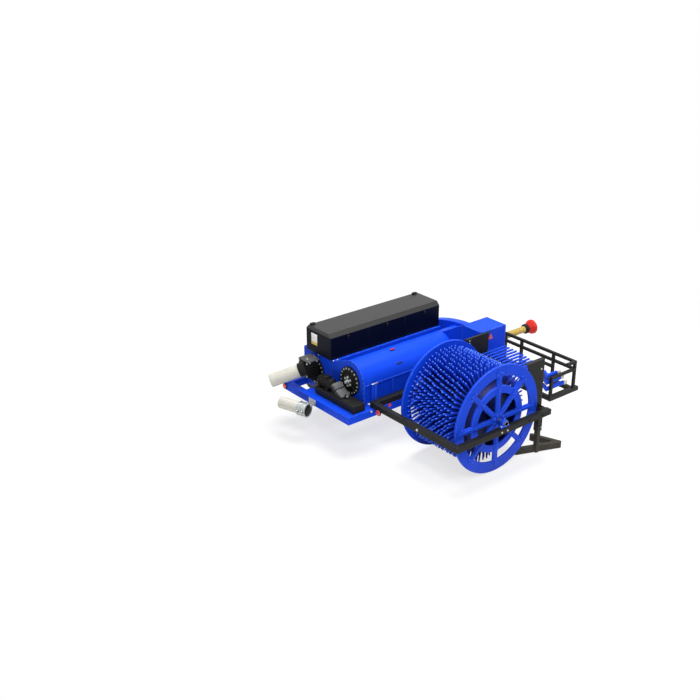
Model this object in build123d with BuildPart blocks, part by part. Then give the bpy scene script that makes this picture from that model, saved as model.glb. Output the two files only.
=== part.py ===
from build123d import *
import math
import os

# Pumpkin seed harvester, millimetres. +X points forward, +Y left, +Z up, and the ground is Z = 0.
# The origin is the middle of the machine's footprint on the ground.

os.makedirs("parts", exist_ok=True)

# Main places
axle_x = -500
disc_radius = 750
axle_rise = 140
deck_z = disc_radius - axle_rise
seat_gap = 0.3
running_gap = 0.05

# Base frame
frame_rear_x = -1800
frame_front_x = 960
frame_right_y = -140
frame_margin = 10
rail_width = 100
rail_height = 110
plate_station_x = -1430
mid_station_x = -300
deck_thickness = 10
deck_left_y = 850

# Drum housings
housing_front_x = 580
housing_radius = 270
housing_wall = 8
housing_lip = 25
housing_step = 22
right_drum_y = 280
right_drum_rise = 285
left_drum_y = 1050
left_drum_rise = 170

# Rear end plate and its bolted flanges
end_plate_thickness = 10
end_plate_lip = 25
flange_radius = 200
flange_thickness = 20
flange_hub_radius = 90
flange_hub_length = 45
flange_shaft_radius = 24
flange_shaft_length = 90

# Ledge under the hood, and the hood
ledge_right_y = 640
ledge_rise = 5
ledge_thickness = 8
hood_rear_x = -1450
hood_front_x = 570
hood_right_y = 680
hood_left_y = 1230
hood_wall = 4
hood_wall_height = 320
hood_bevel = 55
hood_hinge_inset = 150
hood_hinge_length = 60
hood_pin_radius = 6
hood_knuckle_radius = 12
hood_hinge_offset = 16

# Seed pump and outlet spouts
pump_length = 200
pump_width = 300
pump_height = 290
pump_rise = 110
pump_right_y = 880
pump_cap_inset = 20
pump_cap_height = 12
spout_wall = 6
seed_spout_radius = 95
seed_spout_length = 500
seed_spout_turn = 40
seed_spout_drop = 22
seed_spout_gap = 100
seed_cuff_wall = 9
seed_cuff_overlap = 18
drain_spout_radius = 85
drain_spout_length = 460
drain_spout_turn = 72.5
drain_spout_y = 600
drain_spout_drop = 30
drain_spout_gap = 15
coupling_length = 140
coupling_lip = 14
coupling_bracket_width = 90

# Drive unit on the rear deck
drive_base_length = 200
drive_base_gap = 50
drive_base_right_y = -100
drive_base_left_y = 740
drive_base_height = 110
motor_radius = 80
motor_length = 270
motor_foot_width = 36
motor_foot_height = 30
motor_box_size = 90
motor_box_height = 40
gear_housing_length = 145
gear_housing_width = 155
gear_housing_height = 130
gear_housing_tilt = 24
gear_housing_gap = 20
gear_housing_pitch = 165
gear_housing_count = 2
gear_foot_margin = 8
gear_foot_height = 45

# Feed box, its fairing and the cross casing
box_length = 480
box_right_y = -500
box_left_y = -130
box_rise = 390
box_height = 400
box_wall = 6
casing_thickness = 120
casing_arch_rise = 605
casing_arch_end_rise = 500
casing_shoulder_y = 800
casing_left_rise = 190

# Spiked pickup wheel
outer_disc_y = -1570
inner_disc_y = -550
disc_thickness = 30
disc_rim_width = 150
disc_inner_ring_radius = 460
disc_inner_ring_width = 100
disc_hub_radius = 105
spoke_count = 8
spoke_width = 70
spoke_rib_width = 40
spoke_rib_height = 20
core_radius = 450
core_wall = 8
core_recess = 80
core_hand_hole = 80
spike_tip_radius = 690
spike_root_width = 40
spike_root_depth = 4
spike_seat_depth = 7
spike_thickness = 24
spike_rows = 16
spikes_per_row = 48
spike_twist = 30
shaft_radius = 30

# Pickup frame
bar_size = 80
bar_right_y = -1730
bar_rear_gap = 120
bar_front_overhang = 60
inner_bar_front_x = -300
bearing_radius = 45
bearing_width = 50
bearing_base_length = 150
bearing_base_height = 24

# Hinge post
post_radius = 18
post_spacing = 70
post_height = 305
post_cap_height = 20
post_setback = 62
post_gap = 50

# Stripper plates and slats
stripper_thickness = 10
plate_flange = 30
wheel_clearance = 20
inner_plate_rear_overhang = 340
inner_plate_front_overhang = 135
inner_flange_share = 0.9
inner_plate_drop = 5
inner_plate_height = 335
outer_plate_margin = 120
outer_plate_length = 330
outer_plate_height = 730
slat_width = 24
slat_length = 450
slat_retreat = 270
slat_rise = 490
slat_count = 14
slat_bar_size = 40

# Front frame, headstock and gathering bars
front_bar_size = 60
front_frame_rear_x = 900
front_frame_right_y = -1250
front_cross_x = 1370
front_horn_x = 1500
headstock_tube = 40
headstock_top_rise = 310
headstock_second_rise = 200
headstock_third_rise = 100
headstock_third_length = 180
headstock_return = 150
headstock_post_y = -250
headstock_side_post_y = -860
guard_clearance = 30
gather_bar_width = 40
gather_bar_height = 50
gather_layers = 3
gather_pitch = 100
gather_rise = 95
gather_arm_length = 440
gather_arm_step = 80
gather_short_arm = 185
gather_turn = 60
gather_overhang = 60
link_pin_radius = 14
link_pin_length = 90
link_pin_spacing = 825
link_lug_thickness = 20
link_lug_height = 150
link_lug_reach = 150
link_pin_inset = 35

# Power take-off line
pto_y = 190
pto_rise = 190
pto_box_length = 160
pto_box_width = 220
pto_box_height = 200
pto_guard_radius = 50
pto_guard_wall = 6
pto_guard_rear_x = 1010
pto_guard_front_x = 1960
pto_cone_radius = 110
pto_cone_length = 130
pto_shaft_radius = 17.5
pto_yoke_radius = 36
pto_end_x = 2120
pto_spline_radius = 17.5
pto_spline_depth = 70
cradle_width = 120
cradle_thickness = 40
cradle_grip_share = 0.5

# Left wheel
left_wheel_x = -750
tyre_radius = 422
tyre_width = 290
tyre_shoulder = 35
left_wheel_offset = 260
rim_radius = 195
rim_width = 230
rim_wall = 8
wheel_disc_thickness = 12
hub_radius = 75
hub_length = 120
stub_radius = 30
arm_length = 180
arm_thickness = 40

# Stands
sleeve_size = 80
leg_size = 60
leg_fit = 0.4
sleeve_drop = 280
leg_top_drop = 30
foot_height = 90
foot_bar_width = 60
right_stand_y = -1570
left_stand_x = 1000
left_stand_inset = 100
foot_tip_reach = 340
foot_tip_side = 110
foot_tail_reach = 260
foot_tail_side = 120
foot_brace_reach = 200
foot_brace_side = 260

# Lamps
lamp_radius = 45
lamp_depth = 24
lamp_drop = 10
right_lamp_inset = 110


def block(x_low, x_high, y_low, y_high, z_low, z_high, mode=Mode.ADD):
    middle = ((x_low + x_high) / 2, (y_low + y_high) / 2, (z_low + z_high) / 2)
    with Locations(middle):
        Box(x_high - x_low, y_high - y_low, z_high - z_low, mode=mode)


def rod(start, direction, radius, length, mode=Mode.ADD):
    with Locations(Plane(origin=start, z_dir=direction)):
        Cylinder(radius, length, align=(Align.CENTER, Align.CENTER, Align.MIN), mode=mode)


def save(builder, label):
    builder.part.label = label
    export_step(builder.part, f"parts/{label}.step")


along_x = (1, 0, 0)
along_y = (0, 1, 0)
along_z = (0, 0, 1)
backward = (-1, 0, 0)
rail_bottom_z = deck_z - rail_height
axle_z = disc_radius
right_drum_z = deck_z + right_drum_rise
left_drum_z = deck_z + left_drum_rise
ledge_z = left_drum_z + housing_radius + ledge_rise
frame_left_y = left_drum_y + housing_radius + frame_margin
right_rail_inner_y = frame_right_y + rail_width
left_rail_inner_y = frame_left_y - rail_width

# Base frame: two side rails, cross rails and the rear deck
with BuildPart() as base_frame:
    block(frame_rear_x, frame_front_x, frame_right_y, right_rail_inner_y, rail_bottom_z, deck_z)
    block(frame_rear_x, frame_front_x, left_rail_inner_y, frame_left_y, rail_bottom_z, deck_z)
    for station_x in (frame_rear_x, plate_station_x, mid_station_x, frame_front_x - rail_width):
        block(station_x, station_x + rail_width, frame_right_y, frame_left_y, rail_bottom_z, deck_z)
    block(frame_rear_x, plate_station_x, frame_right_y, deck_left_y, deck_z - deck_thickness, deck_z)
save(base_frame, "base_frame")

# Drum housings: round on top, with a lip, and set in from there down to the frame
housing_rear_x = plate_station_x + end_plate_thickness
drums = (
    # name, axis y, axis z
    ("right_drum_housing", right_drum_y, right_drum_z),
    ("left_drum_housing", left_drum_y, left_drum_z),
)
for name, drum_y, drum_z in drums:
    with BuildPart() as housing:
        for radius, lip_z, floor_z, mode in (
            (housing_radius, drum_z - housing_lip, deck_z, Mode.ADD),
            (
                housing_radius - housing_wall, drum_z - housing_lip + housing_wall,
                deck_z + housing_wall, Mode.SUBTRACT,
            ),
        ):
            waist = radius - housing_step
            with BuildSketch(Plane.YZ.offset(housing_rear_x)):
                with BuildLine():
                    Polyline(
                        (drum_y + radius, drum_z), (drum_y + radius, lip_z), (drum_y + waist, lip_z),
                        (drum_y + waist, floor_z), (drum_y - waist, floor_z), (drum_y - waist, lip_z),
                        (drum_y - radius, lip_z), (drum_y - radius, drum_z),
                    )
                    ThreePointArc(
                        (drum_y - radius, drum_z), (drum_y, drum_z + radius), (drum_y + radius, drum_z)
                    )
                make_face()
            extrude(amount=housing_front_x - housing_rear_x, mode=mode)
    save(housing, name)

# Rear end plate: follows the right housing and rises to the left one's shoulder
plate_radius = housing_radius + end_plate_lip
with BuildPart() as rear_end_plate:
    with BuildSketch(Plane.YZ.offset(plate_station_x)):
        with BuildLine():
            Polyline(
                (right_drum_y, right_drum_z + plate_radius),
                (hood_right_y - end_plate_lip, ledge_z),
                (left_drum_y + housing_radius, ledge_z),
                (left_drum_y + housing_radius, deck_z),
                (right_drum_y - plate_radius, deck_z),
                (right_drum_y - plate_radius, right_drum_z),
            )
            RadiusArc(
                (right_drum_y - plate_radius, right_drum_z),
                (right_drum_y, right_drum_z + plate_radius),
                plate_radius,
            )
        make_face()
    extrude(amount=end_plate_thickness)
save(rear_end_plate, "rear_end_plate")

# Bolted end flanges of both drums, with the hub and the shaft end
with BuildPart() as drum_end_flanges:
    for name, drum_y, drum_z in drums:
        rod((plate_station_x, drum_y, drum_z), backward, flange_radius, flange_thickness)
        if drum_y == right_drum_y:
            rod((plate_station_x, drum_y, drum_z), backward, flange_hub_radius, flange_hub_length)
            rod((plate_station_x, drum_y, drum_z), backward, flange_shaft_radius, flange_shaft_length)
save(drum_end_flanges, "drum_end_flanges")

# Ledge that carries the hood over the left drum
with BuildPart() as hood_ledge:
    right_edge = left_drum_y - math.sqrt(housing_radius**2 - (ledge_z - ledge_thickness - left_drum_z) ** 2)
    left_edge = 2 * left_drum_y - right_edge
    web_left_y = left_drum_y + housing_radius + seat_gap
    for low_y, high_y in ((ledge_right_y, right_edge), (left_edge, web_left_y + ledge_thickness)):
        block(housing_rear_x, hood_front_x, low_y, high_y, ledge_z - ledge_thickness, ledge_z)
    for web_y in (ledge_right_y, web_left_y):
        block(
            housing_rear_x, hood_front_x, web_y, web_y + ledge_thickness, deck_z,
            ledge_z - ledge_thickness,
        )
save(hood_ledge, "hood_ledge")

# Hood: four walls that stand on the ledge
hood_rim_z = ledge_z + hood_wall_height
with BuildPart() as hood_body:
    block(hood_rear_x, hood_front_x, hood_right_y, hood_left_y, ledge_z, hood_rim_z)
    block(
        hood_rear_x + hood_wall, hood_front_x - hood_wall, hood_right_y + hood_wall,
        hood_left_y - hood_wall, ledge_z, hood_rim_z, Mode.SUBTRACT,
    )
save(hood_body, "hood_body")

# Hood lid: a roof with sloped sides, its end walls and the knuckles of its hinges
lid_z = hood_rim_z + seat_gap
lid_top_z = lid_z + hood_bevel
hinge_y = hood_left_y + hood_hinge_offset
hinge_z = lid_z
hinge_stations = (hood_rear_x + hood_hinge_inset, hood_front_x - hood_hinge_inset - hood_hinge_length)
with BuildPart() as hood_lid:
    with BuildSketch(Plane.YZ.offset(hood_rear_x)):
        Polygon(
            (hood_right_y, lid_z), (hood_left_y, lid_z),
            (hood_left_y - hood_bevel, lid_top_z), (hood_right_y + hood_bevel, lid_top_z), align=None,
        )
    extrude(amount=hood_front_x - hood_rear_x)
    with BuildSketch(Plane.YZ.offset(hood_rear_x + hood_wall)):
        Polygon(
            (hood_right_y + hood_wall * 2, lid_z), (hood_left_y - hood_wall * 2, lid_z),
            (hood_left_y - hood_bevel - hood_wall, lid_top_z - hood_wall),
            (hood_right_y + hood_bevel + hood_wall, lid_top_z - hood_wall), align=None,
        )
    extrude(amount=hood_front_x - hood_rear_x - hood_wall * 2, mode=Mode.SUBTRACT)
    for station_x in hinge_stations:
        rod((station_x, hinge_y, hinge_z), along_x, hood_knuckle_radius, hood_hinge_length)
        block(
            station_x, station_x + hood_hinge_length, hood_left_y - hood_wall * 2, hinge_y,
            lid_z, lid_z + hood_wall,
        )
        rod(
            (station_x, hinge_y, hinge_z), along_x, hood_pin_radius + running_gap, hood_hinge_length,
            Mode.SUBTRACT,
        )
save(hood_lid, "hood_lid")

# Hinge pins of the lid, with an ear at each end
with BuildPart() as hood_hinge_pins:
    for station_x in hinge_stations:
        low_x = station_x - hood_wall - seat_gap
        high_x = station_x + hood_hinge_length + hood_wall + seat_gap
        rod((low_x, hinge_y, hinge_z), along_x, hood_pin_radius, high_x - low_x)
        for ear_x in (low_x, high_x - hood_wall):
            block(
                ear_x, ear_x + hood_wall, hood_left_y, hinge_y + hood_pin_radius,
                hinge_z - hood_knuckle_radius * 3, hinge_z,
            )
            rod((ear_x, hinge_y, hinge_z), along_x, hood_knuckle_radius, hood_wall)
save(hood_hinge_pins, "hood_hinge_pins")

# Seed pump on the left drum's flange, with the cuff of its spout on the rear face
pump_front_x = plate_station_x - flange_thickness
pump_rear_x = pump_front_x - pump_length
pump_left_y = pump_right_y + pump_width
pump_bottom_z = deck_z + pump_rise
pump_top_z = pump_bottom_z + pump_height
seed_turn = math.radians(seed_spout_turn)
seed_drop = math.radians(seed_spout_drop)
seed_direction = Vector(
    -math.cos(seed_drop) * math.cos(seed_turn), math.cos(seed_drop) * math.sin(seed_turn),
    -math.sin(seed_drop),
)
seed_start = Vector(pump_rear_x, (pump_right_y + pump_left_y) / 2, (pump_bottom_z + pump_top_z) / 2)
seed_inside = seed_start - seed_direction * pump_length
seed_cuff_length = pump_length + seed_spout_gap + seed_cuff_overlap
with BuildPart() as seed_pump:
    rod(seed_inside, seed_direction, seed_spout_radius + seed_cuff_wall, seed_cuff_length)
    rod(seed_inside, seed_direction, seed_spout_radius, seed_cuff_length, Mode.SUBTRACT)
    block(
        pump_rear_x, plate_station_x, pump_right_y - pump_width, pump_left_y + pump_width,
        pump_bottom_z - pump_height, pump_top_z + pump_height, Mode.SUBTRACT,
    )
    block(pump_rear_x, pump_front_x, pump_right_y, pump_left_y, pump_bottom_z, pump_top_z)
    block(
        pump_rear_x + pump_cap_inset, pump_front_x - pump_cap_inset, pump_right_y + pump_cap_inset,
        pump_left_y - pump_cap_inset, pump_top_z, pump_top_z + pump_cap_height,
    )
save(seed_pump, "seed_pump")

# Outlet spouts: open pipes that lead back to the left, the seed spout in the pump's cuff
seed_mouth = seed_start + seed_direction * seed_spout_gap
seed_pipe_length = seed_spout_length - seed_spout_gap
with BuildPart() as seed_spout:
    rod(seed_mouth, seed_direction, seed_spout_radius, seed_pipe_length)
    rod(seed_mouth, seed_direction, seed_spout_radius - spout_wall, seed_pipe_length, Mode.SUBTRACT)
save(seed_spout, "seed_spout")

# The drain spout lies across the rear rail, in a coupling on a bracket
drain_turn = math.radians(drain_spout_turn)
drain_direction = Vector(-math.cos(drain_turn), math.sin(drain_turn), 0)
coupling_radius = drain_spout_radius + coupling_lip
drain_start = Vector(
    frame_rear_x - drain_spout_gap - coupling_radius * math.sin(drain_turn), drain_spout_y,
    rail_bottom_z - drain_spout_drop,
)
with BuildPart() as drain_coupling:
    rod(drain_start, drain_direction, coupling_radius, coupling_length)
    block(
        drain_start.X, frame_rear_x, drain_spout_y, drain_spout_y + coupling_bracket_width,
        rail_bottom_z, rail_bottom_z + drain_spout_radius / 2,
    )
    rod(drain_start, drain_direction, drain_spout_radius, coupling_length, Mode.SUBTRACT)
save(drain_coupling, "drain_coupling")
with BuildPart() as drain_spout:
    rod(drain_start, drain_direction, drain_spout_radius, drain_spout_length)
    rod(drain_start, drain_direction, drain_spout_radius - spout_wall, drain_spout_length, Mode.SUBTRACT)
save(drain_spout, "drain_spout")

# Drive unit: base, motor with its feet and terminal box, and two tilted gear housings
drive_base_front_x = plate_station_x - drive_base_gap
drive_base_rear_x = drive_base_front_x - drive_base_length
drive_base_top_z = deck_z + drive_base_height
drive_axis_x = (drive_base_rear_x + drive_base_front_x) / 2
motor_z = drive_base_top_z + motor_radius
motor_right_y = drive_base_left_y - motor_length
with BuildPart() as drive_base:
    block(
        drive_base_rear_x, drive_base_front_x, drive_base_right_y, drive_base_left_y, deck_z,
        drive_base_top_z,
    )
save(drive_base, "drive_base")
with BuildPart() as drive_motor:
    rod((drive_axis_x, motor_right_y, motor_z), along_y, motor_radius, motor_length)
    for foot_y in (motor_right_y + motor_foot_width, drive_base_left_y - motor_foot_width * 2):
        block(
            drive_axis_x - motor_radius, drive_axis_x + motor_radius, foot_y, foot_y + motor_foot_width,
            drive_base_top_z, drive_base_top_z + motor_foot_height,
        )
    block(
        drive_axis_x - motor_box_size / 2, drive_axis_x + motor_box_size / 2,
        motor_right_y + motor_box_size, motor_right_y + motor_box_size * 2, motor_z,
        motor_z + motor_radius + motor_box_height / 2,
    )
save(drive_motor, "drive_motor")
gear_tilt = math.radians(gear_housing_tilt)
gear_z = drive_base_top_z + (
    gear_housing_height * math.cos(gear_tilt) + gear_housing_width * math.sin(gear_tilt)
) / 2
gear_half_x = gear_housing_length / 2 + gear_foot_margin
with BuildPart() as drive_gearbox:
    for place in range(gear_housing_count):
        gear_y = motor_right_y - gear_housing_gap - gear_housing_pitch * (place + 1 / 2)
        with Locations(Location((drive_axis_x, gear_y, gear_z), (-gear_housing_tilt, 0, 0))):
            Box(gear_housing_length, gear_housing_width, gear_housing_height)
        block(
            drive_axis_x - gear_half_x, drive_axis_x + gear_half_x, gear_y - gear_housing_width / 2,
            gear_y + gear_housing_width / 2, drive_base_top_z, drive_base_top_z + gear_foot_height,
        )
    rod(
        (drive_axis_x, motor_right_y, motor_z), (0, -1, 0), gear_housing_height / 2,
        gear_housing_gap + gear_housing_pitch / 2,
    )
save(drive_gearbox, "drive_gearbox")

# Feed box: a hollow box, open below
box_rear_x = axle_x + disc_radius
box_front_x = box_rear_x + box_length
box_bottom_z = deck_z + box_rise
box_top_z = box_bottom_z + box_height
with BuildPart() as feed_box:
    block(box_rear_x, box_front_x, box_right_y, box_left_y, box_bottom_z, box_top_z)
    block(
        box_rear_x + box_wall, box_front_x - box_wall, box_right_y + box_wall, box_left_y - box_wall,
        box_bottom_z, box_top_z - box_wall, Mode.SUBTRACT,
    )
save(feed_box, "feed_box")

# Fairing that slopes from the feed box down to the right drum
with BuildPart() as feed_fairing:
    with BuildSketch(Plane.YZ.offset(box_rear_x)):
        Polygon(
            (box_left_y, box_top_z), (right_drum_y, right_drum_z + housing_radius + seat_gap),
            (right_drum_y - housing_radius, right_drum_z), (box_left_y, box_bottom_z), align=None,
        )
        with Locations((right_drum_y, right_drum_z)):
            Circle(housing_radius + seat_gap, mode=Mode.SUBTRACT)
    extrude(amount=housing_front_x - box_rear_x)
save(feed_fairing, "feed_fairing")

# Cross casing over the front ends of both drums
casing_front_x = housing_front_x + casing_thickness
casing_left_z = deck_z + casing_left_rise
casing_arch_z = deck_z + casing_arch_rise
casing_arch_end_z = deck_z + casing_arch_end_rise
with BuildPart() as cross_casing:
    with BuildSketch(Plane.YZ.offset(housing_front_x)):
        with BuildLine():
            Polyline(
                (frame_left_y, casing_left_z), (frame_left_y, deck_z), (box_left_y, deck_z),
                (box_left_y, casing_arch_z),
            )
            ThreePointArc(
                (box_left_y, casing_arch_z),
                ((box_left_y + casing_shoulder_y) / 2, casing_arch_z),
                (casing_shoulder_y, casing_arch_end_z),
            )
            Line((casing_shoulder_y, casing_arch_end_z), (frame_left_y, casing_left_z))
        make_face()
    extrude(amount=casing_front_x - housing_front_x)
save(cross_casing, "cross_casing")

# Pickup wheel: two spoked discs
discs = (
    # name, inner face y, direction out of the wheel
    ("outer_disc", outer_disc_y + disc_thickness, -1),
    ("inner_disc", inner_disc_y - disc_thickness, 1),
)
spoke_length = disc_radius - disc_rim_width / 2
for name, face_y, outward in discs:
    with BuildPart() as disc:
        with BuildSketch(Plane(origin=(axle_x, face_y, axle_z), x_dir=along_x, z_dir=(0, outward, 0))):
            Circle(disc_radius)
            Circle(disc_radius - disc_rim_width, mode=Mode.SUBTRACT)
            Circle(disc_inner_ring_radius)
            Circle(disc_inner_ring_radius - disc_inner_ring_width, mode=Mode.SUBTRACT)
            Circle(disc_hub_radius)
            with PolarLocations(spoke_length / 2, spoke_count):
                Rectangle(spoke_length, spoke_width)
        extrude(amount=disc_thickness)
        rib_plane = Plane(
            origin=(axle_x, face_y + outward * disc_thickness, axle_z), x_dir=along_x, z_dir=(0, outward, 0)
        )
        with BuildSketch(rib_plane):
            Circle(disc_hub_radius)
            with PolarLocations(spoke_length / 2, spoke_count):
                Rectangle(spoke_length, spoke_rib_width)
        extrude(amount=spoke_rib_height)
        rod(
            (axle_x, outer_disc_y - disc_radius, axle_z), along_y, shaft_radius, disc_radius * 4,
            Mode.SUBTRACT,
        )
    save(disc, name)

# Pickup drum: a hollow roller with end walls set back from the discs, and rows of spikes round it
core_low_y = outer_disc_y + disc_thickness
core_high_y = inner_disc_y - disc_thickness
core_length = core_high_y - core_low_y
spike_pitch = 2 * math.pi / spikes_per_row
spike_root_radius = core_radius - spike_root_depth
spike_half_turn = spike_root_width / 2 / spike_root_radius
spike_outline = []
for spike in range(spikes_per_row):
    for radius, turn in (
        (spike_root_radius, -spike_half_turn), (spike_tip_radius, 0), (spike_root_radius, spike_half_turn),
    ):
        angle = spike_pitch * spike + turn
        spike_outline.append((radius * math.cos(angle), radius * math.sin(angle)))
row_planes = []
for row in range(spike_rows):
    share = (row + 1 / 2) / spike_rows
    turn = math.radians(spike_twist) * share
    row_planes.append(
        Plane(
            origin=(axle_x, core_low_y + core_length * share - spike_thickness / 2, axle_z),
            x_dir=(math.cos(turn), 0, math.sin(turn)), z_dir=along_y,
        )
    )
core_bore = core_radius - core_wall
hollow_length = core_length - (core_recess + core_wall) * 2
with BuildPart() as spiked_drum:
    rod((axle_x, core_low_y, axle_z), along_y, core_radius, core_length)
    rod((axle_x, core_low_y, axle_z), along_y, core_bore, core_recess, Mode.SUBTRACT)
    rod((axle_x, core_high_y - core_recess, axle_z), along_y, core_bore, core_recess, Mode.SUBTRACT)
    rod(
        (axle_x, core_low_y + core_recess + core_wall, axle_z), along_y, core_bore, hollow_length,
        Mode.SUBTRACT,
    )
    rod((axle_x, core_low_y, axle_z), along_y, core_hand_hole, core_length, Mode.SUBTRACT)
    with BuildSketch(*row_planes):
        Polygon(*spike_outline, align=None)
        Circle(core_radius - spike_seat_depth, mode=Mode.SUBTRACT)
    extrude(amount=spike_thickness)
save(spiked_drum, "spiked_drum")

inner_bar_y = frame_right_y + bar_size
with BuildPart() as pickup_shaft:
    rod((axle_x, bar_right_y, axle_z), along_y, shaft_radius, inner_bar_y - bar_right_y)
save(pickup_shaft, "pickup_shaft")

# Pickup frame: a U of square tube on the right rail
bar_top_z = deck_z + bar_size
bar_rear_x = axle_x - disc_radius - bar_rear_gap
outer_plate_front_x = axle_x + disc_radius + wheel_clearance + outer_plate_margin
right_stand_x = outer_plate_front_x - sleeve_size - stripper_thickness
bar_front_x = right_stand_x + bar_front_overhang
with BuildPart() as pickup_frame:
    block(bar_rear_x, bar_front_x, bar_right_y, bar_right_y + bar_size, deck_z, bar_top_z)
    block(bar_rear_x, bar_rear_x + bar_size, bar_right_y, inner_bar_y, deck_z, bar_top_z)
    block(bar_rear_x, inner_bar_front_x, frame_right_y, inner_bar_y, deck_z, bar_top_z)
    block(
        right_stand_x - sleeve_size / 2, right_stand_x + sleeve_size / 2, bar_right_y + bar_size,
        right_stand_y - sleeve_size / 2, deck_z, bar_top_z,
    )
save(pickup_frame, "pickup_frame")

with BuildPart() as pickup_bearings:
    for bar_y in (bar_right_y, frame_right_y):
        low_y = bar_y + (bar_size - bearing_width) / 2
        block(
            axle_x - bearing_base_length / 2, axle_x + bearing_base_length / 2, low_y,
            low_y + bearing_width, bar_top_z, bar_top_z + bearing_base_height,
        )
        rod((axle_x, low_y, axle_z), along_y, bearing_radius, bearing_width)
        block(
            axle_x - bearing_radius, axle_x + bearing_radius, low_y, low_y + bearing_width,
            bar_top_z, axle_z,
        )
        rod((axle_x, low_y, axle_z), along_y, shaft_radius + running_gap, bearing_width, Mode.SUBTRACT)
save(pickup_bearings, "pickup_bearings")

# Hinge post: two tubes with a cap, beside the right housing
post_x = bar_rear_x + post_setback
post_y = right_drum_y - housing_radius - post_gap
with BuildPart() as hinge_post:
    for tube_x in (post_x, post_x + post_spacing):
        rod((tube_x, post_y, deck_z), along_z, post_radius, post_height)
    block(
        post_x - post_radius, post_x + post_spacing + post_radius, post_y - post_radius,
        post_y + post_radius, deck_z + post_height, deck_z + post_height + post_cap_height,
    )
save(hinge_post, "hinge_post")

# Stripper plates with a flange along the top: the inner one on the feed box, the outer one on the sleeve
inner_plate_top_z = box_top_z - inner_plate_drop
inner_plate_rear_x = box_rear_x - inner_plate_rear_overhang
inner_plate_front_x = box_rear_x + inner_plate_front_overhang
with BuildPart() as inner_stripper_plate:
    with BuildSketch(Plane.XZ.offset(-box_right_y)):
        Polygon(
            (inner_plate_rear_x, inner_plate_top_z), (inner_plate_front_x, inner_plate_top_z),
            (inner_plate_front_x, inner_plate_top_z - inner_plate_height),
            (box_rear_x, inner_plate_top_z - inner_plate_height), align=None,
        )
        with Locations((axle_x, axle_z)):
            Circle(disc_radius + wheel_clearance, mode=Mode.SUBTRACT)
    extrude(amount=stripper_thickness)
    block(
        box_rear_x - inner_plate_rear_overhang * inner_flange_share, inner_plate_front_x,
        box_right_y - plate_flange, box_right_y - stripper_thickness,
        inner_plate_top_z - stripper_thickness, inner_plate_top_z,
    )
save(inner_stripper_plate, "inner_stripper_plate")

outer_plate_y = right_stand_y + sleeve_size / 2
outer_plate_top_z = deck_z + outer_plate_height
outer_plate_rear_x = outer_plate_front_x - outer_plate_length
with BuildPart() as outer_stripper_plate:
    with BuildSketch(Plane.XZ.offset(-outer_plate_y)):
        Polygon(
            (outer_plate_rear_x, outer_plate_top_z), (outer_plate_front_x, outer_plate_top_z),
            (outer_plate_front_x, deck_z), (right_stand_x - sleeve_size / 2, deck_z), align=None,
        )
        with Locations((axle_x, axle_z)):
            Circle(disc_radius + wheel_clearance, mode=Mode.SUBTRACT)
    extrude(amount=-stripper_thickness)
    block(
        outer_plate_rear_x, outer_plate_front_x, outer_plate_y + stripper_thickness,
        outer_plate_y + plate_flange * 2, outer_plate_top_z - stripper_thickness, outer_plate_top_z,
    )
save(outer_stripper_plate, "outer_stripper_plate")

# Slats from the stripper forward, on two cross bars between the plates; the outer ones end further back
slat_low_y = outer_plate_y + stripper_thickness
slat_high_y = box_right_y - stripper_thickness
slat_pitch = (slat_high_y - slat_low_y) / slat_count
slat_z = deck_z + slat_rise
with BuildPart() as slat_bars:
    for bar_x in (box_rear_x, outer_plate_front_x - slat_bar_size):
        block(
            bar_x, bar_x + slat_bar_size, slat_low_y, slat_high_y,
            slat_z - slat_width / 2 - slat_bar_size, slat_z - slat_width / 2,
        )
save(slat_bars, "slat_bars")
with BuildPart() as stripper_slats:
    for slat in range(slat_count):
        slat_y = slat_high_y - slat_pitch * (slat + 1 / 2)
        slat_front_x = box_rear_x + slat_length - slat_retreat * (slat / slat_count) ** 2
        block(
            box_rear_x, slat_front_x, slat_y - slat_width / 2, slat_y + slat_width / 2,
            slat_z - slat_width / 2, slat_z + slat_width / 2,
        )
save(stripper_slats, "stripper_slats")

# Front frame below the base frame, with the lower link lugs
front_top_z = rail_bottom_z
front_low_z = front_top_z - front_bar_size
front_cross_front_x = front_cross_x + front_bar_size
pto_z = deck_z + pto_rise
with BuildPart() as front_frame:
    for low_x in (front_frame_rear_x, front_cross_x):
        block(low_x, low_x + front_bar_size, front_frame_right_y, frame_left_y, front_low_z, front_top_z)
    block(
        front_frame_rear_x, front_horn_x, front_frame_right_y, front_frame_right_y + front_bar_size,
        front_low_z, front_top_z,
    )
    block(
        front_frame_rear_x, front_cross_front_x, frame_left_y - front_bar_size, frame_left_y,
        front_low_z, front_top_z,
    )
    for side in (-1, 1):
        lug_y = pto_y + side * (link_pin_spacing - link_pin_length) / 2
        block(
            front_cross_front_x, front_cross_front_x + link_lug_reach, lug_y - link_lug_thickness / 2,
            lug_y + link_lug_thickness / 2, front_top_z - link_lug_height, front_top_z,
        )
        rod(
            (front_cross_front_x + link_lug_reach - link_pin_inset, lug_y, front_low_z), (0, side, 0),
            link_pin_radius, link_pin_length,
        )
save(front_frame, "front_frame")

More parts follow.
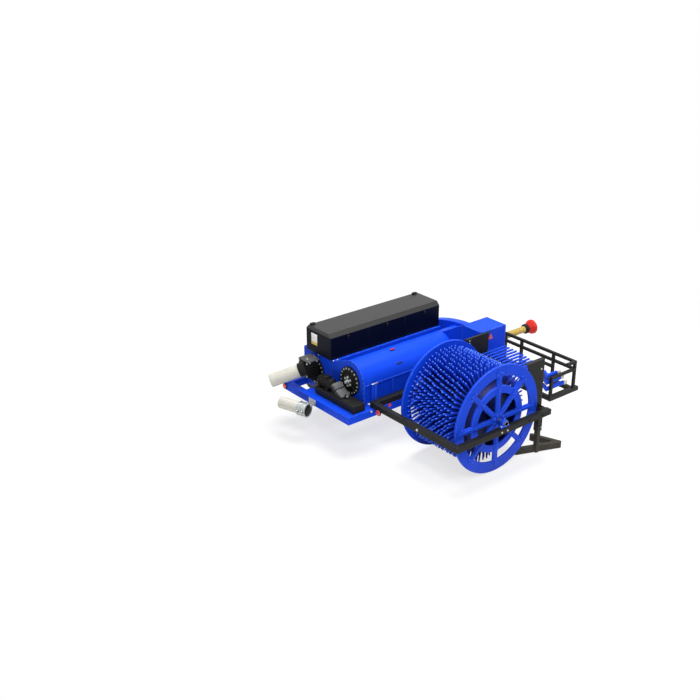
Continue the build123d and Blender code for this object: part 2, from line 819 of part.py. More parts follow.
# Headstock lattice on the front frame, with the cradle of the drive line
lattice_x = front_cross_x + (front_bar_size - headstock_tube) / 2
lattice_right_y = front_frame_right_y
lattice_left_y = pto_y - pto_guard_radius - guard_clearance
headstock_top_z = deck_z + headstock_top_rise
headstock_second_z = deck_z + headstock_second_rise
headstock_third_z = deck_z + headstock_third_rise
posts = (
    # low x, low y, top z
    (lattice_x, lattice_left_y - headstock_tube, headstock_top_z),
    (lattice_x, headstock_post_y, headstock_top_z),
    (lattice_x, headstock_side_post_y, headstock_top_z),
    (lattice_x, lattice_right_y, headstock_top_z),
    (front_frame_rear_x, lattice_right_y, headstock_second_z),
)
rails = (
    # right y, left y, top z
    (lattice_right_y, lattice_left_y, headstock_top_z),
    (lattice_right_y, lattice_left_y, headstock_second_z),
    (headstock_side_post_y, headstock_side_post_y + headstock_third_length, headstock_third_z),
)
cradle_x = front_cross_x + (front_bar_size - cradle_thickness) / 2
with BuildPart() as headstock:
    for post_low_x, post_low_y, top_z in posts:
        block(
            post_low_x, post_low_x + headstock_tube, post_low_y, post_low_y + headstock_tube,
            front_top_z, top_z,
        )
    for rail_right_y, rail_left_y, top_z in rails:
        block(
            lattice_x, lattice_x + headstock_tube, rail_right_y, rail_left_y, top_z - headstock_tube, top_z,
        )
    for rear_x, top_z in (
        (front_frame_rear_x, headstock_second_z), (lattice_x - headstock_return, headstock_top_z),
    ):
        block(
            rear_x, lattice_x, lattice_right_y, lattice_right_y + headstock_tube, top_z - headstock_tube,
            top_z,
        )
    block(
        cradle_x, cradle_x + cradle_thickness, pto_y - cradle_width / 2, pto_y + cradle_width / 2,
        front_top_z, pto_z - pto_guard_radius * cradle_grip_share,
    )
    rod(
        (cradle_x, pto_y, pto_z), along_x, pto_guard_radius + seat_gap, cradle_thickness, Mode.SUBTRACT,
    )
save(headstock, "headstock")

# Gathering bars: layers of V-shaped bars on the inner side of the rear corner post
gather_right_y = lattice_right_y + headstock_tube
gather_corner_x = front_frame_rear_x - gather_overhang
gather_angle = math.radians(gather_turn)
arm_x = gather_short_arm * math.cos(gather_angle)
arm_y = gather_short_arm * math.sin(gather_angle)
side_x = gather_bar_width * math.sin(gather_angle)
side_y = gather_bar_width * math.cos(gather_angle)
inner_slide = (gather_bar_width + side_y) / math.tan(gather_angle)
with BuildPart() as gathering_bars:
    for layer in range(gather_layers):
        low_z = front_top_z + gather_rise + layer * gather_pitch
        long_x = gather_corner_x + gather_arm_length - layer * gather_arm_step
        with BuildSketch(Plane.XY.offset(low_z)):
            Polygon(
                (gather_corner_x, gather_right_y), (long_x, gather_right_y),
                (long_x, gather_right_y + gather_bar_width),
                (gather_corner_x + side_x + inner_slide, gather_right_y + gather_bar_width),
                (gather_corner_x + arm_x + side_x, gather_right_y + arm_y - side_y),
                (gather_corner_x + arm_x, gather_right_y + arm_y), align=None,
            )
        extrude(amount=gather_bar_height)
save(gathering_bars, "gathering_bars")

# Power take-off: input gearbox, guard tube, cones and shaft
with BuildPart() as pto_gearbox:
    block(
        casing_front_x, casing_front_x + pto_box_length, pto_y - pto_box_width / 2,
        pto_y + pto_box_width / 2, pto_z - pto_box_height / 2, pto_z + pto_box_height / 2,
    )
    rod(
        (casing_front_x, pto_y, pto_z), along_x, pto_shaft_radius + running_gap, pto_box_length,
        Mode.SUBTRACT,
    )
save(pto_gearbox, "pto_gearbox")

guard_length = pto_guard_front_x - pto_guard_rear_x
with BuildPart() as pto_guard:
    rod((pto_guard_rear_x, pto_y, pto_z), along_x, pto_guard_radius, guard_length)
    rod(
        (pto_guard_rear_x + pto_guard_wall * 2, pto_y, pto_z), along_x, pto_guard_radius - pto_guard_wall,
        guard_length - pto_guard_wall * 4, Mode.SUBTRACT,
    )
    rod(
        (pto_guard_rear_x, pto_y, pto_z), along_x, pto_shaft_radius + running_gap, guard_length,
        Mode.SUBTRACT,
    )
save(pto_guard, "pto_guard")

with BuildPart() as pto_cones:
    for start_x, outward in ((pto_guard_rear_x, -1), (pto_guard_front_x, 1)):
        for shrink, mode in ((0, Mode.ADD), (pto_guard_wall, Mode.SUBTRACT)):
            with BuildSketch(Plane(origin=(start_x, pto_y, pto_z), z_dir=(outward, 0, 0))):
                Circle(pto_guard_radius - shrink)
            with BuildSketch(
                Plane(origin=(start_x + outward * pto_cone_length, pto_y, pto_z), z_dir=(outward, 0, 0))
            ):
                Circle(pto_cone_radius - shrink)
            loft(mode=mode)
save(pto_cones, "pto_cones")

with BuildPart() as pto_shaft:
    rod((casing_front_x, pto_y, pto_z), along_x, pto_shaft_radius, pto_end_x - casing_front_x)
    rod(
        (pto_end_x - pto_spline_depth * 2, pto_y, pto_z), along_x, pto_yoke_radius,
        pto_spline_depth * 2,
    )
    rod((pto_end_x, pto_y, pto_z), backward, pto_spline_radius, pto_spline_depth, Mode.SUBTRACT)
save(pto_shaft, "pto_shaft")

# Left wheel on a stub axle
left_wheel_y = frame_left_y + left_wheel_offset
with BuildPart() as left_axle:
    block(
        left_wheel_x - arm_length / 2, left_wheel_x + arm_length / 2, frame_left_y,
        frame_left_y + arm_thickness, tyre_radius - arm_length / 2, deck_z,
    )
    rod(
        (left_wheel_x, frame_left_y, tyre_radius), along_y, stub_radius,
        left_wheel_y + hub_length / 2 - frame_left_y,
    )
save(left_axle, "left_axle")

with BuildPart() as left_tyre:
    rod((left_wheel_x, left_wheel_y - tyre_width / 2, tyre_radius), along_y, tyre_radius, tyre_width)
    rod(
        (left_wheel_x, left_wheel_y - tyre_width / 2, tyre_radius), along_y, rim_radius, tyre_width,
        Mode.SUBTRACT,
    )
    outer_edges = left_tyre.edges().filter_by(GeomType.CIRCLE).sort_by(SortBy.RADIUS)[-2:]
    fillet(outer_edges, tyre_shoulder)
save(left_tyre, "left_tyre")

with BuildPart() as left_rim:
    rod((left_wheel_x, left_wheel_y - rim_width / 2, tyre_radius), along_y, rim_radius, rim_width)
    rod(
        (left_wheel_x, left_wheel_y - rim_width / 2, tyre_radius), along_y, rim_radius - rim_wall,
        rim_width, Mode.SUBTRACT,
    )
    rod(
        (left_wheel_x, left_wheel_y - wheel_disc_thickness / 2, tyre_radius), along_y, rim_radius,
        wheel_disc_thickness,
    )
    rod(
        (left_wheel_x, left_wheel_y - rim_width, tyre_radius), along_y, hub_radius, rim_width * 2,
        Mode.SUBTRACT,
    )
save(left_rim, "left_rim")

with BuildPart() as left_hub:
    rod((left_wheel_x, left_wheel_y - hub_length / 2, tyre_radius), along_y, hub_radius, hub_length)
    rod(
        (left_wheel_x, left_wheel_y - hub_length / 2, tyre_radius), along_y, stub_radius + running_gap,
        hub_length, Mode.SUBTRACT,
    )
save(left_hub, "left_hub")

# Stands: a square sleeve, and a leg that slides in it on a V-shaped foot
left_stand_y = frame_left_y - left_stand_inset
sleeve_bottom_z = deck_z - sleeve_drop
leg_top_z = deck_z - leg_top_drop
half_sleeve = sleeve_size / 2
half_leg = leg_size / 2
half_bore = half_leg + leg_fit
stands = (
    # side, x, y, sleeve top z, hand: the way to the machine's middle
    ("right", right_stand_x, right_stand_y, bar_top_z, 1),
    ("left", left_stand_x, left_stand_y, deck_z, -1),
)
with BuildPart() as stand_sleeves:
    for side, stand_x, stand_y, top_z, hand in stands:
        block(
            stand_x - half_sleeve, stand_x + half_sleeve, stand_y - half_sleeve, stand_y + half_sleeve,
            sleeve_bottom_z, top_z,
        )
        block(
            stand_x - half_bore, stand_x + half_bore, stand_y - half_bore, stand_y + half_bore,
            sleeve_bottom_z, top_z, Mode.SUBTRACT,
        )
save(stand_sleeves, "stand_sleeves")
for side, stand_x, stand_y, top_z, hand in stands:
    tip = Vector(stand_x + foot_tip_reach, stand_y - hand * foot_tip_side)
    tail = Vector(stand_x - foot_tail_reach, stand_y + hand * foot_tail_side)
    brace = Vector(stand_x + foot_brace_reach, stand_y + hand * foot_brace_side)
    with BuildPart() as stand_leg:
        block(
            stand_x - half_leg, stand_x + half_leg, stand_y - half_leg, stand_y + half_leg, 0, leg_top_z,
        )
        with BuildSketch():
            for end in (tail, brace):
                bar = end - tip
                with Locations((tip + end) / 2):
                    SlotCenterToCenter(
                        bar.length, foot_bar_width, rotation=math.degrees(math.atan2(bar.Y, bar.X))
                    )
        extrude(amount=foot_height)
    save(stand_leg, f"{side}_stand_leg")

# Red lamps on the pickup frame's rear bar and on the rear rail
lamp_places = (
    # x, y, z
    (bar_rear_x, frame_right_y - right_lamp_inset, deck_z - lamp_drop),
    (frame_rear_x, frame_left_y - rail_width / 2, deck_z - rail_height / 2),
)
with BuildPart() as lamps:
    for place in lamp_places:
        rod(place, backward, lamp_radius, lamp_depth)
save(lamps, "lamps")
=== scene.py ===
import math
import random
from functools import partial

import bmesh
import bpy
from mathutils import Matrix, Vector


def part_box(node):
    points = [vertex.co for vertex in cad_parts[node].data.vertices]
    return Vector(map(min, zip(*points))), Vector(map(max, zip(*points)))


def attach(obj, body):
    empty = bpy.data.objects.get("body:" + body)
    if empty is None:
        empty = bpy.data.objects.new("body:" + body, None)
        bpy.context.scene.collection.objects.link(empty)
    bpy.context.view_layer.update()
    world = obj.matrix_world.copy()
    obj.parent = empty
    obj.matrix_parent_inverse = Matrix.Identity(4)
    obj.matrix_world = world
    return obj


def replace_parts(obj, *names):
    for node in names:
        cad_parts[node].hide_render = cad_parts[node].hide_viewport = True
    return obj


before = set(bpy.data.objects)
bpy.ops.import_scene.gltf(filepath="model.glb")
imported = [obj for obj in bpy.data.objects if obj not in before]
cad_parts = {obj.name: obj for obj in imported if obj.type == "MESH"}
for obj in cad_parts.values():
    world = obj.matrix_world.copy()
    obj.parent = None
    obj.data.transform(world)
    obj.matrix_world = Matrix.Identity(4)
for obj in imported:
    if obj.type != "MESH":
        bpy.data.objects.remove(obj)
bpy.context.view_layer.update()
print("frame loaded:", len(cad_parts), "nodes")

mm = 0.001
alongX, alongY, alongZ = Vector((1, 0, 0)), Vector((0, 1, 0)), Vector((0, 0, 1))


# Camera, at the photograph's place and angle

cameraView = {
    "place": (-9.5917, -9.8244, 7.0618),
    "looksAlong": (0.5749, 0.7122, -0.4028),
    "lens": 54.77,
    "sensor": 36.0,
    "farEnd": 600.0,
}


def makeCamera():
    data = bpy.data.cameras.new("photoCamera")
    data.lens = cameraView["lens"]
    data.sensor_width = cameraView["sensor"]
    data.clip_end = cameraView["farEnd"]
    camera = bpy.data.objects.new("photoCamera", data)
    bpy.context.scene.collection.objects.link(camera)
    camera.location = cameraView["place"]
    camera.rotation_euler = Vector(cameraView["looksAlong"]).to_track_quat("-Z", "Y").to_euler()
    bpy.context.scene.camera = camera


makeCamera()
print("camera set")


# Materials

def hexColour(code):
    # sRGB hex to the linear colour that a shader takes
    shares = [int(code[i:i + 2], 16) / 255 for i in (1, 3, 5)]
    return tuple(s / 12.92 if s <= 0.04045 else ((s + 0.055) / 1.055) ** 2.4 for s in shares) + (1.0,)


def addNode(material, kind, settings=None, links=None):
    # a link comes from a socket, or from a node's first output
    node = material.node_tree.nodes.new("ShaderNode" + kind)
    for name, value in (settings or {}).items():
        if isinstance(name, int) or name in node.inputs:
            node.inputs[name].default_value = value
        else:
            setattr(node, name, value)
    for name, source in (links or {}).items():
        socket = source.outputs[0] if isinstance(source, bpy.types.Node) else source
        material.node_tree.links.new(socket, node.inputs[name])
    return node


def startMaterial(name):
    # empty material, what adds its nodes, and the link that gives its patterns their place on the machine
    material = bpy.data.materials.new(name)
    material.use_nodes = True
    material.node_tree.nodes.clear()
    add = partial(addNode, material)
    return material, add, {"Vector": add("TexCoord").outputs["Object"]}


def finishMaterial(material, settings, links):
    shader = addNode(material, "BsdfPrincipled", settings, links)
    addNode(material, "OutputMaterial", None, {"Surface": shader})
    return material


def perMillimetre(size):
    # pattern scale, in cycles per metre, for a grain of that many millimetres
    return 1000.0 / size


def arrisMask(add, rounded):
    # 1 on the arrises, where the rounded normal leaves the true one, and 0 on the flats
    geometry = add("NewGeometry")
    alike = add("VectorMath", {"operation": "DOT_PRODUCT"}, {0: rounded, 1: geometry.outputs["Normal"]})
    return add("MapRange", {"From Min": 0.995, "From Max": 0.90, "To Min": 0.0, "To Max": 1.0},
               {"Value": alike.outputs["Value"]})


dust = {"colour": "#8A8272", "top": 0.55, "bottom": 0.02}  # field dust, from that height down, in metres


def paintedSteel(paint):
    # Paint on metal: two close tones, lighter arrises that are partly wear and partly a painted highlight,
    # peel or powder grain, and dust low down
    material, add, atPlace = startMaterial(paint["name"])
    rounded = add("Bevel", {"samples": 4, "Radius": paint["edgeRadius"] * mm})
    tone = add("TexNoise", {"Scale": perMillimetre(paint["toneSize"]), "Detail": 3.0, "Roughness": 0.55},
               atPlace)
    chips = add("TexNoise", {"Scale": perMillimetre(paint["chipSize"]), "Detail": 4.0, "Roughness": 0.7},
                atPlace)
    grain = add("TexNoise", {"Scale": perMillimetre(paint["grainSize"]), "Detail": 2.0}, atPlace)
    colour = add("MixRGB", {"Color1": hexColour(paint["colour"]), "Color2": hexColour(paint["tone"])},
                 {"Fac": tone})
    # arrises lighter where the chips fall: partly wear, partly a painted highlight
    arrisWearAndHighlight = add("Math", {"operation": "MULTIPLY"}, {0: arrisMask(add, rounded), 1: chips})
    arrisWearAndHighlightShare = add("Math", {"operation": "MULTIPLY", 1: paint["edgeWearAndHighlight"], "use_clamp": True}, {0: arrisWearAndHighlight})
    worked = add("MixRGB", {"Color2": hexColour(paint["edge"])}, {"Fac": arrisWearAndHighlightShare, "Color1": colour})
    height = add("SeparateXYZ", None, atPlace)
    lowShare = add("MapRange",
                   {"From Min": dust["top"], "From Max": dust["bottom"], "To Min": 0.0,
                    "To Max": paint["dust"]}, {"Value": height.outputs["Z"]})
    dustShare = add("Math", {"operation": "MULTIPLY", "use_clamp": True}, {0: lowShare, 1: chips})
    dusty = add("MixRGB", {"Color2": hexColour(dust["colour"])}, {"Fac": dustShare, "Color1": worked})
    bump = add("Bump", {"Strength": paint["grainDepth"], "Distance": 1.0 * mm},
               {"Height": grain, "Normal": rounded})
    gloss = add("MapRange", {"To Min": paint["roughness"] - 0.05, "To Max": paint["roughness"] + 0.08},
                {"Value": chips})
    return finishMaterial(
        material,
        {"IOR": 1.5, "Coat Weight": paint.get("coat", 0.0), "Coat Roughness": 0.2,
         "Specular IOR Level": paint["specular"]},
        {"Base Color": dusty, "Roughness": gloss, "Normal": bump},
    )


# Royal blue alkyd enamel, sprayed: glossy and smooth, with a slight orange peel (real 3 mm, drawn at 14 mm)
# its light blue edge colour is partly wear and partly a painted highlight on the arrises
blueEnamel = paintedSteel({
    "name": "blueAlkydEnamelSprayed", "colour": "#1146DA", "tone": "#0E3CC2", "edge": "#6C96F8",
    "edgeRadius": 6.0, "toneSize": 420.0, "chipSize": 60.0, "edgeWearAndHighlight": 1.2, "dust": 0.2,
    "grainSize": 14.0, "grainDepth": 0.06, "roughness": 0.38, "specular": 0.07,
})
# The same enamel on small bolts that were painted over with the sheet: less wear and a fainter painted
# highlight on the arrises
paintedBolts = paintedSteel({
    "name": "blueAlkydEnamelOverBolts", "colour": "#2A58E4", "tone": "#1A46CC", "edge": "#7EA2FA",
    "edgeRadius": 1.5, "toneSize": 30.0, "chipSize": 9.0, "edgeWearAndHighlight": 0.8, "dust": 0.1,
    "grainSize": 5.0, "grainDepth": 0.1, "roughness": 0.34, "specular": 0.2,
})
# Black polyester powder coat, baked: satin with a fine leathery grain (real 1 mm, drawn at 8 mm)
blackPowderCoat = paintedSteel({
    "name": "blackPolyesterPowderCoatBaked", "colour": "#1D1D1B", "tone": "#171716", "edge": "#5A5850",
    "edgeRadius": 4.0, "toneSize": 300.0, "chipSize": 40.0, "edgeWearAndHighlight": 1.4, "dust": 0.3,
    "grainSize": 8.0, "grainDepth": 0.18, "roughness": 0.42, "specular": 0.14,
})
# Navy-black acrylic lacquer on rolled sheet: deep and smooth, with the faint wave of thin sheet; its darker
# navy-black against the lid's grey is painted shade on the hood's walls
hoodLacquer = paintedSteel({
    "name": "navyBlackAcrylicLacquerOnRolledSheet", "colour": "#060A1A", "tone": "#040712", "edge": "#2C3040",
    "edgeRadius": 4.0, "toneSize": 600.0, "chipSize": 120.0, "edgeWearAndHighlight": 0.8, "dust": 0.0,
    "grainSize": 160.0, "grainDepth": 0.2, "roughness": 0.42, "specular": 0.08,
})
# Dark grey textured lacquer on the folded lid: satin, so that it looks lighter than the walls, and a lighter
# grey than them, which is painted light on the hood's top
lidLacquerWithPaintedLight = paintedSteel({
    "name": "darkGreyTexturedLacquerOnFoldedLidWithPaintedLight", "colour": "#1E1E1D", "tone": "#191919", "edge": "#4C4C4A",
    "edgeRadius": 4.0, "toneSize": 500.0, "chipSize": 60.0, "edgeWearAndHighlight": 0.8, "dust": 0.0,
    "grainSize": 7.0, "grainDepth": 0.15, "roughness": 0.36, "specular": 0.34,
})
# Black stoving enamel on cast iron: dull, with the sand grain of the casting (real 0.8 mm, drawn at 6 mm)
castBlack = paintedSteel({
    "name": "blackStovingEnamelOnCastIron", "colour": "#121211", "tone": "#0D0D0D", "edge": "#3C3B38",
    "edgeRadius": 3.0, "toneSize": 120.0, "chipSize": 25.0, "edgeWearAndHighlight": 1.5, "dust": 0.2,
    "grainSize": 6.0, "grainDepth": 0.35, "roughness": 0.42, "specular": 0.16,
})
# Dark grey primer on cast iron, as cast: matt, with the same sand grain
castGrey = paintedSteel({
    "name": "greyPrimerOnCastIron", "colour": "#545557", "tone": "#48494B", "edge": "#8C8C8A",
    "edgeRadius": 3.0, "toneSize": 90.0, "chipSize": 22.0, "edgeWearAndHighlight": 1.2, "dust": 0.2,
    "grainSize": 6.0, "grainDepth": 0.35, "roughness": 0.55, "specular": 0.25,
})
# Pale grey wheel enamel on a pressed steel rim: a clear gloss, dusty towards the ground
rimEnamel = paintedSteel({
    "name": "paleWheelEnamelOnPressedSteel", "colour": "#C9CBCB", "tone": "#B9BBBC", "edge": "#E6E8E8",
    "edgeRadius": 3.0, "toneSize": 150.0, "chipSize": 30.0, "edgeWearAndHighlight": 0.6, "dust": 0.5,
    "grainSize": 10.0, "grainDepth": 0.1, "roughness": 0.35, "specular": 0.5, "coat": 0.3,
})


def bareMetal(metal):
    # Bare metal: one pattern moves colour and gloss together, and ridges stand up where there are any
    material, add, atPlace = startMaterial(metal["name"])
    normal = add("Bevel", {"samples": 4, "Radius": metal["edgeRadius"] * mm})
    kind, output, settings = metal["pattern"]
    share = add(kind, settings, atPlace).outputs[output]
    colour = add("MixRGB", {"Color1": hexColour(metal["colour"]), "Color2": hexColour(metal["tone"])},
                 {"Fac": share})
    gloss = add("MapRange", {"To Min": metal["gloss"][0], "To Max": metal["gloss"][1]}, {"Value": share})
    if "ridge" in metal:
        normal = add("Bump", {"Strength": metal["ridge"], "Distance": 0.5 * mm},
                     {"Height": share, "Normal": normal})
    return finishMaterial(material, {"Metallic": 1.0},
                          {"Base Color": colour, "Roughness": gloss, "Normal": normal})


# Bright zinc plate on bolts and nuts, with a clear passivation: fine clouds of 9 mm
zincBolts = bareMetal({
    "name": "zincPlatedSteelPassivated", "colour": "#DADBD8", "tone": "#B9BAB4", "edgeRadius": 1.0,
    "gloss": (0.22, 0.42), "pattern": ("TexNoise", "Fac", {"Scale": perMillimetre(9.0), "Detail": 3.0}),
})
# Bright turned shaft: fine rings across the axis (real 0.3 mm, drawn at 4 mm)
brightSteel = bareMetal({
    "name": "brightSteelTurned", "colour": "#C4C6C8", "tone": "#C4C6C8", "edgeRadius": 1.5,
    "gloss": (0.2, 0.34), "ridge": 0.08,
    "pattern": ("TexWave", "Fac", {"bands_direction": "DIAGONAL", "Scale": perMillimetre(4.0) / 6.0,
                                   "Distortion": 0.4}),
})
# Hot-dip galvanised: flat crystals of the zinc, 12 mm across, each with its own grey
galvanised = bareMetal({
    "name": "steelHotDipGalvanised", "colour": "#9FA3A5", "tone": "#C9CCCC", "edgeRadius": 2.0,
    "gloss": (0.34, 0.55), "pattern": ("TexVoronoi", "Color", {"Scale": perMillimetre(12.0)}),
})
# Brass fittings, cast and wire brushed: warm metal with a cloudy tarnish of 14 mm
brass = bareMetal({
    "name": "brassCastBrushed", "colour": "#8E8768", "tone": "#5C563E", "edgeRadius": 1.5,
    "gloss": (0.3, 0.5), "pattern": ("TexNoise", "Fac", {"Scale": perMillimetre(14.0), "Detail": 5.0}),
})


plainSkin = {
    "edgeRadius": 2.0, "cloudDetail": 4.0, "cloudRoughness": 0.5, "scuff": 0.35, "grainDetail": 2.0,
    "grainDepth": 0.12, "ior": 1.5, "glow": 0.0,
    "glowRadius": (8 * mm, 5 * mm, 3 * mm),  # how far red, green and blue light spread inside
}


def mouldedSkin(skin):
    # Moulded plastic or rubber: a soft satin skin with a faint grain, and lighter scuffed arrises
    skin = {**plainSkin, **skin}
    material, add, atPlace = startMaterial(skin["name"])
    rounded = add("Bevel", {"samples": 4, "Radius": skin["edgeRadius"] * mm})
    cloud = add("TexNoise",
                {"Scale": perMillimetre(skin["cloudSize"]), "Detail": skin["cloudDetail"],
                 "Roughness": skin["cloudRoughness"]}, atPlace)
    colour = add("MixRGB", {"Color1": hexColour(skin["colour"]), "Color2": hexColour(skin["tone"])},
                 {"Fac": cloud})
    scuff = add("Math", {"operation": "MULTIPLY", 1: skin["scuff"]}, {0: arrisMask(add, rounded)})
    worked = add("MixRGB", {"Color2": hexColour(skin["edge"])}, {"Fac": scuff, "Color1": colour})
    grain = add("TexNoise", {"Scale": perMillimetre(skin["grainSize"]), "Detail": skin["grainDetail"]},
                atPlace)
    bump = add("Bump", {"Strength": skin["grainDepth"], "Distance": 1.0 * mm},
               {"Height": grain, "Normal": rounded})
    return finishMaterial(
        material,
        {"IOR": skin["ior"], "Specular IOR Level": skin["specular"], "Roughness": skin["roughness"],
         "Subsurface Weight": skin["glow"], "Subsurface Radius": skin["glowRadius"]},
        {"Base Color": worked, "Normal": bump},
    )


# Extruded PVC hose: milky white that lets a little light in
whiteHose = mouldedSkin({
    "name": "whitePvcHoseExtruded", "colour": "#CAC8C0", "tone": "#B9B6AB", "edge": "#FAF9F4",
    "cloudSize": 90.0, "grainSize": 7.0, "roughness": 0.42, "specular": 0.4, "glow": 0.1,
})
# Blow-moulded polyethylene guard: waxy yellow, bleached by the sun
yellowGuard = mouldedSkin({
    "name": "yellowPolyethyleneBlowMoulded", "colour": "#B09648", "tone": "#A0863A", "edge": "#E0CC90",
    "cloudSize": 70.0, "grainSize": 6.0, "roughness": 0.4, "specular": 0.3, "glow": 0.05,
})
# Moulded polyethylene cones: waxy signal red
redCone = mouldedSkin({
    "name": "redPolyethyleneMoulded", "colour": "#D02C20", "tone": "#B02018", "edge": "#F07868",
    "cloudSize": 60.0, "grainSize": 6.0, "roughness": 0.38, "specular": 0.2, "glow": 0.05,
})
# Moulded polyamide: dull black with grey scuffs
blackPlastic = mouldedSkin({
    "name": "blackPolyamideMoulded", "colour": "#1D1D1D", "tone": "#161616", "edge": "#4A4A4A",
    "cloudSize": 60.0, "grainSize": 5.0, "roughness": 0.45, "specular": 0.12,
})
# Pressed phenolic knob: hard dark red with a soft gloss
darkRedKnob = mouldedSkin({
    "name": "darkRedPhenolicPressed", "colour": "#A81C18", "tone": "#8E1412", "edge": "#D85A50",
    "cloudSize": 30.0, "grainSize": 4.0, "roughness": 0.3, "specular": 0.25,
})
# Vulcanised tyre rubber: matt black with grey bloom and field dust in patches
tyreRubber = mouldedSkin({
    "name": "blackRubberVulcanised", "colour": "#1D1D1C", "tone": "#3B3935", "edge": "#54514B",
    "cloudSize": 45.0, "cloudDetail": 6.0, "cloudRoughness": 0.7, "edgeRadius": 3.0, "scuff": 1.0,
    "grainSize": 5.0, "grainDetail": 3.0, "grainDepth": 0.3, "roughness": 0.78, "specular": 0.5, "ior": 1.52,
})


def acrylicLens():
    # Red acrylic lens, moulded: clear gloss over a prism pattern of 9 mm cells
    material, add, atPlace = startMaterial("redAcrylicLensMoulded")
    prisms = add("TexVoronoi", {"feature": "F1", "Scale": perMillimetre(9.0)}, atPlace)
    colour = add("MixRGB", {"Color1": hexColour("#F04434"), "Color2": hexColour("#B81A14")},
                 {"Fac": prisms})
    bump = add("Bump", {"Strength": 0.5, "Distance": 1.5 * mm}, {"Height": prisms})
    return finishMaterial(
        material, {"IOR": 1.49, "Roughness": 0.12, "Coat Weight": 0.8, "Coat Roughness": 0.05},
        {"Base Color": colour, "Normal": bump})


labelFilm = {"white": "#EDEDEA", "foot": "#D9B33C", "footTop": 1.215, "bubbleSize": 25.0}


def blankVinyl():
    # Blank vinyl label, satin with a faint bubble or two: white above, one plain yellow foot below
    material, add, atPlace = startMaterial("blankVinylLabelWithYellowFoot")
    height = add("SeparateXYZ", None, atPlace)
    foot = add("Math", {"operation": "LESS_THAN", 1: labelFilm["footTop"]}, {0: height.outputs["Z"]})
    colour = add("MixRGB",
                 {"Color1": hexColour(labelFilm["white"]), "Color2": hexColour(labelFilm["foot"])},
                 {"Fac": foot})
    bubbles = add("TexNoise", {"Scale": perMillimetre(labelFilm["bubbleSize"]), "Detail": 1.0}, atPlace)
    bump = add("Bump", {"Strength": 0.1, "Distance": 0.5 * mm}, {"Height": bubbles})
    return finishMaterial(material, {"Roughness": 0.4}, {"Base Color": colour, "Normal": bump})


spikeShadeWearAndHighlight = {
    "axle": (-0.5, 0, 0.75),  # metres
    # root: painted shade deep among the close-set spikes; tip: paint rubbed pale, with a painted highlight
    "root": "#061450", "rod": "#1140CE", "tip": "#5B88F6",
    "rootEnds": (0.46, 0.64), "tipEnds": (0.65, 0.705),  # distances between which each colour changes
    "raggedness": 0.05, "blotchSize": 30.0,
}


def spikeEnamelWithPaintedShadeAndHighlight():
    # Blue enamel on forged spikes, coloured by distance from the axle: painted shade makes the roots deep
    # among the close-set spikes, and the pale tips are partly paint rubbed by stalks and soil and partly a
    # painted highlight
    material, add, atPlace = startMaterial("blueEnamelOnForgedSpikesWithPaintedShadeAndHighlight")
    rounded = add("Bevel", {"samples": 4, "Radius": 3.0 * mm})
    across = add("VectorMath", {"operation": "MULTIPLY", 1: (1, 0, 1)}, {0: atPlace["Vector"]})
    reach = add("VectorMath", {"operation": "DISTANCE", 1: spikeShadeWearAndHighlight["axle"]}, {0: across})
    blotch = add("TexNoise", {"Scale": perMillimetre(spikeShadeWearAndHighlight["blotchSize"]), "Detail": 3.0}, atPlace)
    spread = add("Math",
                 {"operation": "MULTIPLY_ADD", 1: spikeShadeWearAndHighlight["raggedness"],
                  2: -spikeShadeWearAndHighlight["raggedness"] / 2}, {0: blotch})
    ragged = add("Math", {"operation": "ADD"}, {0: reach.outputs["Value"], 1: spread})
    rodShare, tipShare = (
        add("MapRange", {"From Min": start, "From Max": end}, {"Value": ragged})
        for start, end in (spikeShadeWearAndHighlight["rootEnds"], spikeShadeWearAndHighlight["tipEnds"]))
    lower = add("MixRGB", {"Color1": hexColour(spikeShadeWearAndHighlight["root"]), "Color2": hexColour(spikeShadeWearAndHighlight["rod"])},
                {"Fac": rodShare})
    colour = add("MixRGB", {"Color2": hexColour(spikeShadeWearAndHighlight["tip"])}, {"Fac": tipShare, "Color1": lower})
    gloss = add("MapRange", {"To Min": 0.28, "To Max": 0.5}, {"Value": blotch})
    return finishMaterial(material, {"Specular IOR Level": 0.2},
                          {"Base Color": colour, "Roughness": gloss, "Normal": rounded})


lensRed = acrylicLens()
blankLabel = blankVinyl()
spikeEnamel = spikeEnamelWithPaintedShadeAndHighlight()
print("materials made")


# CAD nodes that stay: each gets its finish, and flat stock gets a small bevel

nodeFinishes = {
    blueEnamel: ("base_frame", "cross_casing", "feed_box", "feed_fairing", "gathering_bars", "hinge_post",
                 "hood_ledge", "inner_disc", "left_drum_housing", "outer_disc", "rear_end_plate",
                 "right_drum_housing", "spiked_drum", "stripper_slats"),
    blackPowderCoat: ("drive_base", "front_frame", "headstock", "hood_hinge_pins", "inner_stripper_plate",
                      "left_axle", "left_stand_leg", "outer_stripper_plate", "pickup_bearings",
                      "pickup_frame", "right_stand_leg", "slat_bars", "stand_sleeves"),
    hoodLacquer: ("hood_body",),
    lidLacquerWithPaintedLight: ("hood_lid",),
    castBlack: ("drive_motor", "drum_end_flanges", "seed_pump"),
    castGrey: ("drive_gearbox", "left_hub", "pto_gearbox"),
    galvanised: ("drain_coupling",),
    brightSteel: ("pickup_shaft", "pto_shaft"),
    whiteHose: ("drain_spout", "seed_spout"),
    rimEnamel: ("left_rim",),
    lensRed: ("lamps",),
    tyreRubber: ("left_tyre",),
    redCone: ("pto_cones",),
    yellowGuard: ("pto_guard",),
}
